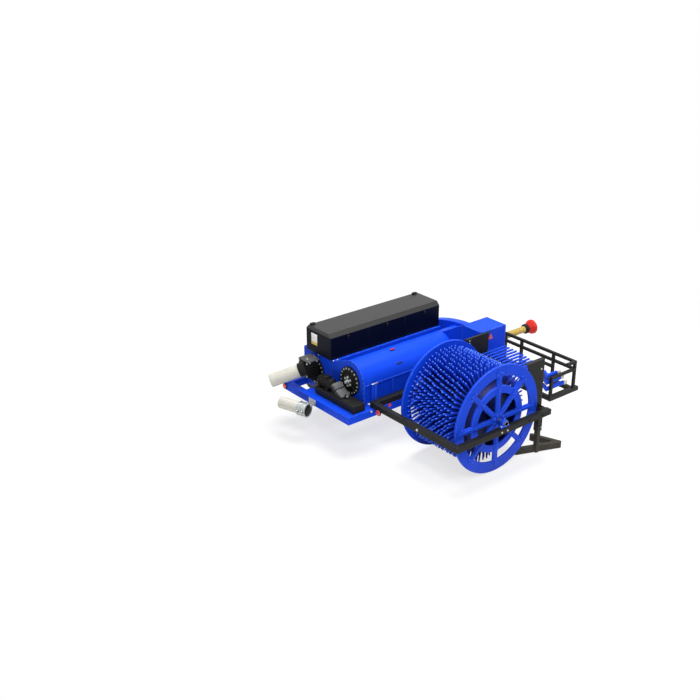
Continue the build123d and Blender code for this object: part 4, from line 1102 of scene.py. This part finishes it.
wheelBolts = {
    "hub": (82, 8, 16),  # circle, count, thread
    "rimCircle": 640,
    "rimPairHalf": 45,
    "rimSunk": 20,  # the rim's face lies this much lower than the hub's
    "spokes": 8,
    "spokePlace": 410,
    "spokeBolt": 14,
    "nut": (36, 14),  # radius, height
}


def makeWheelBolts():
    bolts, nuts = newMeshes(2)
    for node, side in (("outer_disc", -1), ("inner_disc", 1)):
        low, high = nodeBox(node)
        middle = (low + high) / 2
        middle.y = low.y if side < 0 else high.y
        out = alongY * side
        addBoltRing(bolts, middle, out, *wheelBolts["hub"])
        for angle in turns(wheelBolts["spokes"]):
            along = Vector((math.cos(angle), 0, math.sin(angle)))
            across = Vector((-math.sin(angle), 0, math.cos(angle)))
            for share in (-1, 1):
                place = middle + along * wheelBolts["rimCircle"] + across * wheelBolts["rimPairHalf"] * share
                addBolt(bolts, place - out * wheelBolts["rimSunk"], out, wheelBolts["hub"][2])
            addBolt(bolts, middle + along * wheelBolts["spokePlace"], out, wheelBolts["spokeBolt"])
    low, high = nodeBox("pickup_shaft")
    radius, height = wheelBolts["nut"]
    for y, side in ((low.y, -1), (high.y, 1)):
        start = Vector(((low.x + high.x) / 2, y, (low.z + high.z) / 2))
        addRod(nuts, start, start - alongY * side * height, radius, 6)
    addPiece("pickupWheelBolts", bolts, paintedBolts, body="pickup_wheel")
    addPiece("pickupWheelNuts", nuts, zincBolts, body="pickup_wheel")


# Pillow blocks of the pickup axle, with grease nipples

pillow = {
    "width": 50,
    "setBack": 6,  # of the neck's faces from the foot's
    "radius": 52,
    "neck": 58,
    "steps": 24,
    "foot": (75, 22),  # half length, height
    "collar": ((0, 46), (5, 45), (8, 41), (8, 30.2), (0, 30.2)),  # height, radius
    "boltInset": 20,
    "bolt": 18,
    "nipple": ((0, 0), (0, 5), (5, 5), (6, 3), (9, 3), (11, 4), (14, 0)),
}


def makePillowBlocks():
    low, high = nodeBox("pickup_bearings")
    axle = sum(nodeBox("pickup_shaft"), Vector()) / 2
    width, setBack, radius, (reach, tall) = (pillow[k] for k in ("width", "setBack", "radius", "foot"))
    neckZ = low.z + tall - 2
    outline = [(-pillow["neck"], neckZ)]
    for i in range(pillow["steps"] + 1):
        angle = math.pi * i / pillow["steps"]
        outline.append((-radius * math.cos(angle), axle.z + radius * math.sin(angle)))
    outline.append((pillow["neck"], neckZ))
    cast, bolts = newMeshes(2)
    for y in (low.y, high.y - width):
        addBox(cast, (axle.x - reach, y, low.z), (axle.x + reach, y + width, low.z + tall), 5)
        addPlate(cast, outline, width - 2 * setBack, lambda u, v, w: (axle.x + u, y + setBack + w, v))
        for face, side in ((y + setBack, -1), (y + width - setBack, 1)):
            addTurned(cast, (axle.x, face - side * 2, axle.z), alongY * side, pillow["collar"])
        for side in (-1, 1):
            x = axle.x + side * (reach - pillow["boltInset"])
            addBolt(bolts, (x, y + width / 2, low.z + tall), alongZ, pillow["bolt"])
        addTurned(bolts, (axle.x, y + width / 2, axle.z + radius - 1), alongZ, pillow["nipple"], 10)
    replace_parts(addPiece("pillowBlocks", cast, blueEnamel), "pickup_bearings")
    addPiece("pillowBlockBolts", bolts, zincBolts)


# Hood: blank label plate, latches, corner caps, seam strips and their rivets

hood = {
    "label": ((-1452.5, 984, 1170), (-1450, 1114, 1336)),
    "capXs": (-1400, 500),
    "cap": (34, 130, 78, 20),  # half length, its two edges from the lid's left side, height
    "capRod": (44, 104, 12, 9),  # half length, place from the lid's left side, height, radius
    "latchXs": (-1150, -440, 270),
    "latch": (16, 72, 18, 12),  # half width, its ends below the top, thickness
    "latchPin": (18, 30, 4),  # half length, place below the top, radius
    "hook": (12, 8, 2, 14),  # half width, reach, its ends above the lid's foot
    "stripXs": (-777, -103),
    "strip": (18, 3),  # half width, thickness
    "rivetPitch": 82,
    "footStrip": (26, 2),  # height, thickness
    "footRivets": (90, 168),  # first place, pitch
}


def makeHoodFittings():
    low, high = nodeBox("hood_body")
    lidLow, lidHigh = nodeBox("hood_lid")
    label, strips, rivets, latches, hooks, caps = newMeshes(6)
    addBox(label, *hood["label"], 0.8)
    half, thick = hood["strip"]
    for x in hood["stripXs"]:
        for face, side in ((low.y, -1), (high.y, 1)):
            outer = face + side * thick
            addBox(strips, (x - half, face - side, low.z), (x + half, outer, high.z - 6), 1)
            for i in range(int((high.z - low.z) / hood["rivetPitch"])):
                addRivet(rivets, (x, outer, low.z + hood["rivetPitch"] * (i + 0.6)), alongY * side)
    tall, thick = hood["footStrip"]
    first, pitch = hood["footRivets"]
    addBox(strips, (low.x, low.y - thick, low.z), (high.x, low.y + 1, low.z + tall), 0.8)
    for k in range(int((high.x - low.x) / pitch)):
        addRivet(rivets, (low.x + first + pitch * k, low.y - thick, low.z + tall / 2), -alongY)
    half, foot, top, thick = hood["latch"]
    pinHalf, pinDown, pinRadius = hood["latchPin"]
    hookHalf, hookReach, hookLow, hookHigh = hood["hook"]
    for x in hood["latchXs"]:
        addBox(latches, (x - half, low.y - thick, high.z - foot), (x + half, low.y, high.z - top), 3)
        pin = Vector((x, low.y - thick, high.z - pinDown))
        addRod(latches, pin - alongX * pinHalf, pin + alongX * pinHalf, pinRadius, 12)
        addBox(hooks, (x - hookHalf, low.y - hookReach, lidLow.z + hookLow),
               (x + hookHalf, low.y + 2, lidLow.z + hookHigh), 2)
    half, outerEdge, innerEdge, tall = hood["cap"]
    rodHalf, rodY, rodRise, rodRadius = hood["capRod"]
    for x in hood["capXs"]:
        addBox(caps, (x - half, lidHigh.y - outerEdge, lidHigh.z - 4),
               (x + half, lidHigh.y - innerEdge, lidHigh.z + tall), 7)
        rod = Vector((x, lidHigh.y - rodY, lidHigh.z + rodRise))
        addRod(caps, rod - alongX * rodHalf, rod + alongX * rodHalf, rodRadius, 16)
    addPiece("hoodBlankLabel", label, blankLabel)
    addPiece("hoodSeamStrips", strips, hoodLacquer)
    addPiece("hoodRivets", rivets, castBlack)
    addPiece("hoodLatches", latches, castBlack)
    addPiece("hoodLatchHooks", hooks, castBlack, body="hood_lid")
    addPiece("hoodCornerCaps", caps, blackPlastic, body="hood_lid")


# Feed box: folded edges, corner angles and their bolts

feedBox = {"edge": 26, "sheet": 3, "boltPitch": 85, "bolt": 7}


def makeFeedBoxTrim():
    low, high = nodeBox("feed_box")
    edge, sheet, pitch, size = (feedBox[k] for k in ("edge", "sheet", "boltPitch", "bolt"))
    trim, bolts = newMeshes(2)
    ends = ((low.x, low.x + edge), (high.x - edge, high.x))
    for x0, x1 in ends:
        addBox(trim, (x0, low.y, high.z - 1), (x1, high.y, high.z + sheet), 1)
    for y0, y1 in ((low.y, low.y + edge), (high.y - edge, high.y)):
        addBox(trim, (low.x, y0, high.z - 1), (high.x, y1, high.z + sheet), 1)
    for x0, x1 in ends:
        addBox(trim, (x0, low.y - sheet, low.z), (x1, low.y + 1, high.z), 1)
        for i in range(int((high.z - low.z) / pitch)):
            addBolt(bolts, ((x0 + x1) / 2, low.y - sheet, low.z + pitch * (i + 0.6)), -alongY, size)
    for i in range(int((high.x - low.x) / pitch)):
        for y in (low.y + edge / 2, high.y - edge / 2):
            addBolt(bolts, (low.x + pitch * (i + 0.65), y, high.z + sheet), alongZ, size)
    addPiece("feedBoxTrim", trim, blueEnamel)
    addPiece("feedBoxBolts", bolts, paintedBolts)


# Lamps and reflectors: domed red lenses in black bezels, plain red discs and a triangle

signals = {
    "lamps": ((-1370, -250, 600), (-1800, 1280, 555)),
    "lens": ((4, 0), (4, 40), (16, 40), (20, 36.8), (23, 24), (24, 0)),
    "bezel": ((0, 0), (0, 45), (14, 45), (17, 43), (17, 40.5), (3, 40.5), (3, 0)),
    "discs": (((-1088, -140, 583), 26), ((-1320, -140, 540), 18)),  # place, radius
    "triangle": ((430, -503.5, 1296), 52),
    "thickness": 5,
}


def makeSignals():
    lens, bezel = newMeshes(2)
    for place in signals["lamps"]:
        addTurned(lens, place, -alongX, signals["lens"], 40)
        addTurned(bezel, place, -alongX, signals["bezel"], 40)
    thick = signals["thickness"]
    for place, radius in signals["discs"]:
        addTurned(lens, place, -alongY,
                  [(0, 0), (0, radius), (thick, radius), (thick + 2, radius - 3), (thick + 2, 0)], 32)
    (x, y, z), size = signals["triangle"]
    corners = [(size * math.cos(a), size * math.sin(a)) for a in turns(3, 0.75)]
    addPlate(lens, corners, thick, lambda u, v, w: (x + u, y - w, z + v))
    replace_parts(addPiece("signalLenses", lens, lensRed, 40.0), "lamps")
    addPiece("lampBezels", bezel, blackPlastic, 40.0)


# Hinge post: two tubes with a web between them, under a bright plate with its nuts

hinge = {
    "collar": (4, 10),
    "neck": 4,
    "head": (22, 10),
    "web": 4,
    "plate": (14, 6),
    "nut": 0.02,  # thread size: too small to show, so that the plate stands for the nuts
}


def makeHingePost():
    low, high = nodeBox("hinge_post")
    y, radius, tall = (low.y + high.y) / 2, (high.y - low.y) / 2, high.z - low.z
    wide, rise = hinge["collar"]
    headLow, headHigh = hinge["head"]
    plateLow, plateHigh = hinge["plate"]
    neck, web = radius - hinge["neck"], hinge["web"]
    post, nuts = newMeshes(2)
    for x in (low.x + radius, high.x - radius):
        addTurned(post, (x, y, low.z), alongZ, [
            (0, 0), (0, radius + wide), (rise, radius + wide), (rise + 2, neck), (tall - headLow - 2, neck),
            (tall - headLow, radius), (tall - headHigh, radius), (tall - headHigh, 0)], 24)
        addBolt(nuts, (x, y, high.z - plateHigh), alongZ, hinge["nut"])
    addBox(post, (low.x + radius, y - web, low.z), (high.x - radius, y + web, high.z - 30), 1)
    addBox(nuts, (low.x, low.y, high.z - plateLow), (high.x, high.y, high.z - plateHigh), 2)
    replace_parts(addPiece("hingePostTubes", post, blueEnamel, 40.0), "hinge_post")
    addPiece("hingePostNuts", nuts, zincBolts)


# Bolts of the frame, plates and casings

frameBolts = {
    "bright": (
        # place, direction, thread size
        ((-1430, 1095, 990), -alongX, 10), ((-1430, 983, 1028), -alongX, 10),
        ((-1430, 644, 1060), -alongX, 10), ((-1430, 556, 1110), -alongX, 10),
        ((-1408, -140, 585), -alongY, 16), ((-1309, -140, 585), -alongY, 16),
        ((-1370, -1003, 653), -alongX, 16), ((-475, -1730, 650), -alongY, 12),
        ((-575, -1730, 650), -alongY, 12), ((330, -1530, 1208), -alongY, 12),
    ),
    "painted": (
        # first place, step, count, direction, thread size
        ((-1430, 8, 650), (0, 0, 75), 4, -alongX, 8),
        ((-1350, 656, 1055), (180, 0, 0), 11, alongZ, 8),
        ((-1700, 1330, 555), (420, 0, 0), 6, alongY, 12),
        ((-1800, 90, 555), (0, 500, 0), 3, -alongX, 12),
        ((-1150, -140, 555), (500, 0, 0), 4, -alongY, 10),
        ((700, -100, 660), (0, 0, 100), 5, alongX, 10),
        ((700, 420, 640), (0, 140, 0), 6, alongX, 10),
    ),
    "black": (
        ((-1650, -70, 720), (0, 130, 0), 2, alongZ, 12),
        ((-1510, -70, 720), (0, 130, 0), 2, alongZ, 12),
        ((1430, -1100, 470), (0, 280, 0), 4, alongX, 12),
        ((-50, -1730, 650), (250, 0, 0), 2, -alongY, 14),
        ((330, -1530, 700), (0, 0, 120), 4, -alongY, 10),
    ),
    "arch": (280, 895, 282),  # y, z and radius of the right housing's arch of bolts
    "archAngles": range(70, 185, 14),  # degrees
    "archBolt": 7,
}


def makeFrameBolts():
    bright, painted, black = newMeshes(3)
    for place, direction, size in frameBolts["bright"]:
        addBolt(bright, place, direction, size)
    for bolts, rows in ((painted, frameBolts["painted"]), (black, frameBolts["black"])):
        for first, step, count, direction, size in rows:
            for i in range(count):
                addBolt(bolts, Vector(first) + Vector(step) * i, direction, size)
    wall = nodeBox("rear_end_plate")[0].x
    y, z, radius = frameBolts["arch"]
    for angle in map(math.radians, frameBolts["archAngles"]):
        addBolt(painted, (wall, y + radius * math.cos(angle), z + radius * math.sin(angle)), -alongX,
                frameBolts["archBolt"])
    addPiece("frameBolts", bright, zincBolts)
    addPiece("paintedBolts", painted, paintedBolts)
    addPiece("blackBolts", black, castBlack)


# Right drum housing: upper edge strip, foot strip, ribs, roof catch and red hatch knob

housing = {
    "axis": (280, 895),  # y, z
    "stripZ": (880, 902),
    "stripProud": 5,
    "footZ": (612, 640),
    "footStart": 260,
    "latch": ((-749, 60, 1030), (50, 20, 9)),  # place, half size
    "knob": (-720, 235, 1152),
    "stem": ((0, 0), (0, 22), (7, 20), (8, 9), (20, 9), (20, 0)),
    "grip": (38, 14, 10),  # half size
    "ribXs": (-900, -400, 100),
    "ribHalf": 14,
}


def makeHousingDetails():
    low, high = nodeBox("right_drum_housing")
    trim, foot, dark, red = newMeshes(4)
    (stripLow, stripHigh), (footLow, footHigh) = housing["stripZ"], housing["footZ"]
    addBox(trim, (low.x, low.y - housing["stripProud"], stripLow), (high.x, low.y + 4, stripHigh), 2)
    addBox(foot, (low.x + housing["footStart"], low.y - 12, footLow), (high.x, low.y + 22, footHigh), 3)
    half = housing["ribHalf"]
    for x in housing["ribXs"]:
        addBox(trim, (x - half, low.y + 1, footHigh), (x + half, low.y + 24, stripLow), 2)
    (x, y, z), half = housing["latch"]
    axisY, axisZ = housing["axis"]
    tilt = Matrix.Rotation(math.atan2(z - axisZ, axisY - y) - math.pi / 2, 4, "X")
    addBlock(dark, Vector((x, y, z + 3)), half, 4, tilt)
    knob = Vector(housing["knob"])
    addTurned(dark, knob - alongZ * 4, alongZ, housing["stem"], 24)
    addBlock(red, knob + alongZ * 24, housing["grip"], 7)
    addPiece("housingStrips", trim, blueEnamel)
    addPiece("housingFootStrip", foot, blackPowderCoat)
    addPiece("housingLatch", dark, castBlack)
    addPiece("housingHatchKnob", red, darkRedKnob)


# Left wall under the hood: stiffening ribs, and a bolted access cover with its handle

sideWall = {
    "ribXs": (-1270, -920, -570, -220, 500),
    "ribZ": (655, 1010),
    "ribHalf": 20,
    "ribProud": 9,
    "cover": (-90, 370, 690, 970),  # its ends along x, then along z
    "coverProud": 4,
    "coverMargin": 16,
    "boltPitch": 107,
    "bolt": 8,
    "handle": (140, 900, 60, 36),  # x, z, half length, reach
    "bend": 10,
    "wire": 6,
    "rosette": (12, 4),  # radius, height
}


def makeSideWall():
    wall = nodeBox("hood_ledge")[1].y
    ribs, bolts, grip = newMeshes(3)
    half, proud, (ribLow, ribHigh) = (sideWall[k] for k in ("ribHalf", "ribProud", "ribZ"))
    for x in sideWall["ribXs"]:
        addBox(ribs, (x - half, wall - proud, ribLow), (x + half, wall + proud, ribHigh), proud * 0.7)
    x0, x1, z0, z1 = sideWall["cover"]
    face, margin = wall + sideWall["coverProud"], sideWall["coverMargin"]
    addBox(ribs, (x0, wall - 1, z0), (x1, face, z1), 1.5)
    width = x1 - x0 - 2 * margin
    count = round(width / sideWall["boltPitch"])
    places = [(x, (z0 + z1) / 2) for x in (x0 + margin, x1 - margin)]
    for i in range(count + 1):
        places += [(x0 + margin + width * i / count, z) for z in (z0 + margin, z1 - margin)]
    for x, z in places:
        addBolt(bolts, (x, face, z), alongY, sideWall["bolt"])
    x, z, long, reach = sideWall["handle"]
    bend = sideWall["bend"]
    arm = ((0, -2), (0, reach - bend), (0.3 * bend, reach - 0.3 * bend), (bend, reach))  # inwards, outwards
    addPath(grip, [(x - long + inwards, face + out, z) for inwards, out in arm]
            + [(x + long - inwards, face + out, z) for inwards, out in reversed(arm)],
            [sideWall["wire"]] * 2 * len(arm), 14)
    radius, rise = sideWall["rosette"]
    for side in (-1, 1):
        addRod(grip, (x + side * long, face - 1, z), (x + side * long, face + rise, z), radius, 20)
    addPiece("sideWallRibs", ribs, blueEnamel, 40.0)
    addPiece("sideWallBolts", bolts, paintedBolts)
    addPiece("sideWallHandle", grip, blackPlastic, 40.0)


# Blue plate that closes the front end of the left drum housing, above the cross casing

frontCover = {"low": (566, 650, 640), "high": (579.5, 1327, 1053), "boltZ": 1034, "boltCount": 6, "bolt": 8}


def makeFrontCover():
    low, high = Vector(frontCover["low"]), Vector(frontCover["high"])
    plate, bolts = newMeshes(2)
    addBox(plate, low, high, 2)
    for i in range(frontCover["boltCount"]):
        y = low.y + (high.y - low.y) * (i + 0.5) / frontCover["boltCount"]
        addBolt(bolts, (high.x, y, frontCover["boltZ"]), alongX, frontCover["bolt"])
    addPiece("frontDrumCover", plate, blueEnamel)
    addPiece("frontDrumCoverBolts", bolts, paintedBolts)


# Clamp at the rear upper corner of the inner stripper plate

plateClamp = {
    "low": (-60, -536, 1300),
    "high": (30, -494, 1388),
    "rod": (8, 20, 24),  # how far it stands out, place below the top, radius
    "boltX": -15,
    "boltZs": (1324, 1364),
    "bolt": 11,
}


def makePlateClamp():
    clamp, bolts = newMeshes(2)
    low, high = Vector(plateClamp["low"]), Vector(plateClamp["high"])
    out, down, radius = plateClamp["rod"]
    middle = (low.y + high.y) / 2
    addBox(clamp, low, high, 4)
    addRod(clamp, (low.x - out, middle, high.z - down), (high.x + out, middle, high.z - down), radius, 24)
    for z in plateClamp["boltZs"]:
        addBolt(bolts, (plateClamp["boltX"], low.y, z), -alongY, plateClamp["bolt"])
    addPiece("stripperPlateClamp", clamp, castBlack)
    addPiece("stripperPlateClampBolts", bolts, zincBolts)


# Stand pins through the sleeves, with heads at both ends and a ring of wire

standPins = {
    "places": ((300, -1570), (1000, 1230)),
    "height": 395,
    "pin": 9,
    "ends": (38, 62),  # from the sleeve's middle
    "head": (8, 1.6),  # length, share of the pin's radius
    "ring": (20, 12, 16),  # radius, how far in from the left end, how far below the pin
    "ringSteps": 20,
    "wire": 3,
}


def makeStandPins():
    bm = bmesh.new()
    near, far = standPins["ends"]
    length, share = standPins["head"]
    radius, back, down = standPins["ring"]
    for x, y in standPins["places"]:
        middle = Vector((x, y, standPins["height"]))
        for side in (-1, 1):
            out = alongY * side
            addRod(bm, middle + out * near, middle + out * far, standPins["pin"], 16)
            addRod(bm, middle + out * (far - length), middle + out * far, standPins["pin"] * share, 16)
        angles = turns(standPins["ringSteps"]) + [2 * math.pi]
        addPath(bm, [(x + radius * math.cos(a), y + far - back, middle.z - down + radius * math.sin(a))
                     for a in angles], [standPins["wire"]] * len(angles), 8)
    addPiece("standPins", bm, zincBolts, 40.0)


# Gathering bars' white end caps

endCaps = {
    "layers": ((0, 0), (80, 100), (160, 200)),  # how far each stops short of the lowest one, height above it
    "depth": 10,
    "grip": 55,
    "rise": 3,
    "bar": (40, 50),
}


def makeEndCaps():
    low, high = nodeBox("gathering_bars")
    grow, (wide, tall) = endCaps["rise"], endCaps["bar"]
    bm = bmesh.new()
    for short, up in endCaps["layers"]:
        end, z = high.x - short, low.z + up
        addBox(bm, (end - endCaps["grip"], low.y - grow, z - grow),
               (end + endCaps["depth"], low.y + wide + grow, z + tall + grow), 4)
    addPiece("gatheringBarCaps", bm, whiteHose)


# Weld beads where tubes and plates meet

welds = {
    "radii": (3.2, 4.0),
    "ripple": 7,
    "seams": (
        ((-1370, -140, 611), (-1370, -60, 611)), ((-1290, -140, 611), (-1290, -1650, 611)),
        ((-1290, -1650, 690), (-1370, -1730, 690)), ((-1290, -140, 690), (-1290, -60, 690)),
        ((-1700, -40, 610), (-1700, -140, 610)), ((-1800, -40, 610), (-1700, -40, 610)),
        ((-1800, 1230, 610), (-1700, 1230, 610)), ((860, -40, 610), (960, -40, 610)),
        ((260, -1650, 690), (340, -1650, 690)), ((260, -1610, 690), (340, -1610, 690)),
        ((1385, -1210, 500), (1385, -860, 500)), ((960, -1190, 500), (1370, -1190, 500)),
        ((940, -1250, 500), (940, -1210, 500)), ((250, -503, 1000), (730, -503, 1000)),
    ),
}


def makeWelds():
    bm = bmesh.new()
    for start, end in welds["seams"]:
        start, end = Vector(start), Vector(end)
        count = max(2, int((end - start).length / welds["ripple"]))
        addPath(bm, [start.lerp(end, i / count) for i in range(count + 1)],
                [welds["radii"][i % 2] for i in range(count + 1)], 6)
    addPiece("weldBeads", bm, blackPowderCoat, 60.0)


# Stage and light

stage = {
    "floorSize": 400.0,
    "floorColour": "#F2F2F0",
    "glow": (0.70, 1.0),  # share of the floor's own glow: near, where the shadow shows, and far away
    "glowDistances": (2.5, 7.0),
    "skyForLight": 0.26,
    "aim": (0, 0, 0.6),
}
lamps = (
    # name, place, size in metres, power in watts
    ("keyLamp", (-6.0, -7.0, 9.0), 4.0, 700.0),
    ("topLamp", (0.5, 0.5, 9.0), 6.0, 1040.0),
    ("sideLamp", (7.0, -5.0, 5.0), 5.0, 180.0),
)


def seenDirectly(add):
    # 1 for camera, glossy and transmission rays, so that metal and glass show the same pale background
    rays = add("LightPath").outputs
    first = add("Math", {"operation": "MAXIMUM"}, {0: rays["Is Camera Ray"], 1: rays["Is Glossy Ray"]})
    return add("Math", {"operation": "MAXIMUM"}, {0: first, 1: rays["Is Transmission Ray"]})


def makeStage():
    bm = bmesh.new()
    half = stage["floorSize"] / 2
    bm.faces.new([bm.verts.new((x * half, y * half, 0)) for x, y in ((-1, -1), (1, -1), (1, 1), (-1, 1))])
    mesh = bpy.data.meshes.new("floor")
    bm.to_mesh(mesh)
    bm.free()
    floor = bpy.data.objects.new("floor", mesh)
    bpy.context.scene.collection.objects.link(floor)
    material, add, atPlace = startMaterial("paleStudioFloorPainted")
    away = add("VectorMath", {"operation": "LENGTH"}, {0: atPlace["Vector"]})
    (nearGlow, farGlow), (near, far) = stage["glow"], stage["glowDistances"]
    glowShare = add("MapRange",
                    {"From Min": near, "From Max": far, "To Min": nearGlow, "To Max": farGlow,
                     "interpolation_type": "SMOOTHSTEP"}, {"Value": away.outputs["Value"]})
    share = add("Math", {"operation": "MULTIPLY"}, {0: seenDirectly(add), 1: glowShare})
    diffuse = add("BsdfDiffuse", {"Color": hexColour(stage["floorColour"])})
    glow = add("Emission", {"Color": (1, 1, 1, 1), "Strength": 1.0})
    both = add("MixShader", None, {0: share, 1: diffuse, 2: glow})
    add("OutputMaterial", None, {"Surface": both})
    mesh.materials.append(material)

    world = bpy.data.worlds.new("paleStudio")
    world.use_nodes = True
    world.node_tree.nodes.clear()
    bpy.context.scene.world = world
    add = partial(addNode, world)
    strength = add("MapRange", {"To Min": stage["skyForLight"], "To Max": 1.0}, {"Value": seenDirectly(add)})
    sky = add("Background", {"Color": (1, 1, 1, 1)}, {"Strength": strength})
    add("OutputWorld", None, {"Surface": sky})

    for name, place, size, power in lamps:
        data = bpy.data.lights.new(name, "AREA")
        data.shape = "DISK"
        data.size = size
        data.energy = power
        lamp = bpy.data.objects.new(name, data)
        lamp.location = place
        lamp.rotation_euler = (Vector(stage["aim"]) - Vector(place)).to_track_quat("-Z", "Y").to_euler()
        bpy.context.scene.collection.objects.link(lamp)
    bpy.context.scene.view_settings.view_transform = "Standard"


for stageName, make in {
    "spiked drum": makeSpikedDrum,
    "spouts": makeSpouts,
    "coupling": makeCoupling,
    "flanges": makeFlanges,
    "pump": makePump,
    "grease block": makeGreaseBlock,
    "drive motor": makeMotor,
    "gear housings": makeGearbox,
    "ground tyre": makeTyre,
    "ground rim": makeRim,
    "drive line cover": makeDriveLineCover,
    "drive line shaft": makeDriveLineShaft,
    "input gearbox": makeInputBox,
    "pickup wheel bolts": makeWheelBolts,
    "pillow blocks": makePillowBlocks,
    "hood fittings": makeHoodFittings,
    "feed box trim": makeFeedBoxTrim,
    "signals": makeSignals,
    "hinge post": makeHingePost,
    "frame bolts": makeFrameBolts,
    "housing details": makeHousingDetails,
    "side wall": makeSideWall,
    "front cover": makeFrontCover,
    "plate clamp": makePlateClamp,
    "stand pins": makeStandPins,
    "end caps": makeEndCaps,
    "weld beads": makeWelds,
    "stage": makeStage,
}.items():
    make()
    print(stageName, "made")
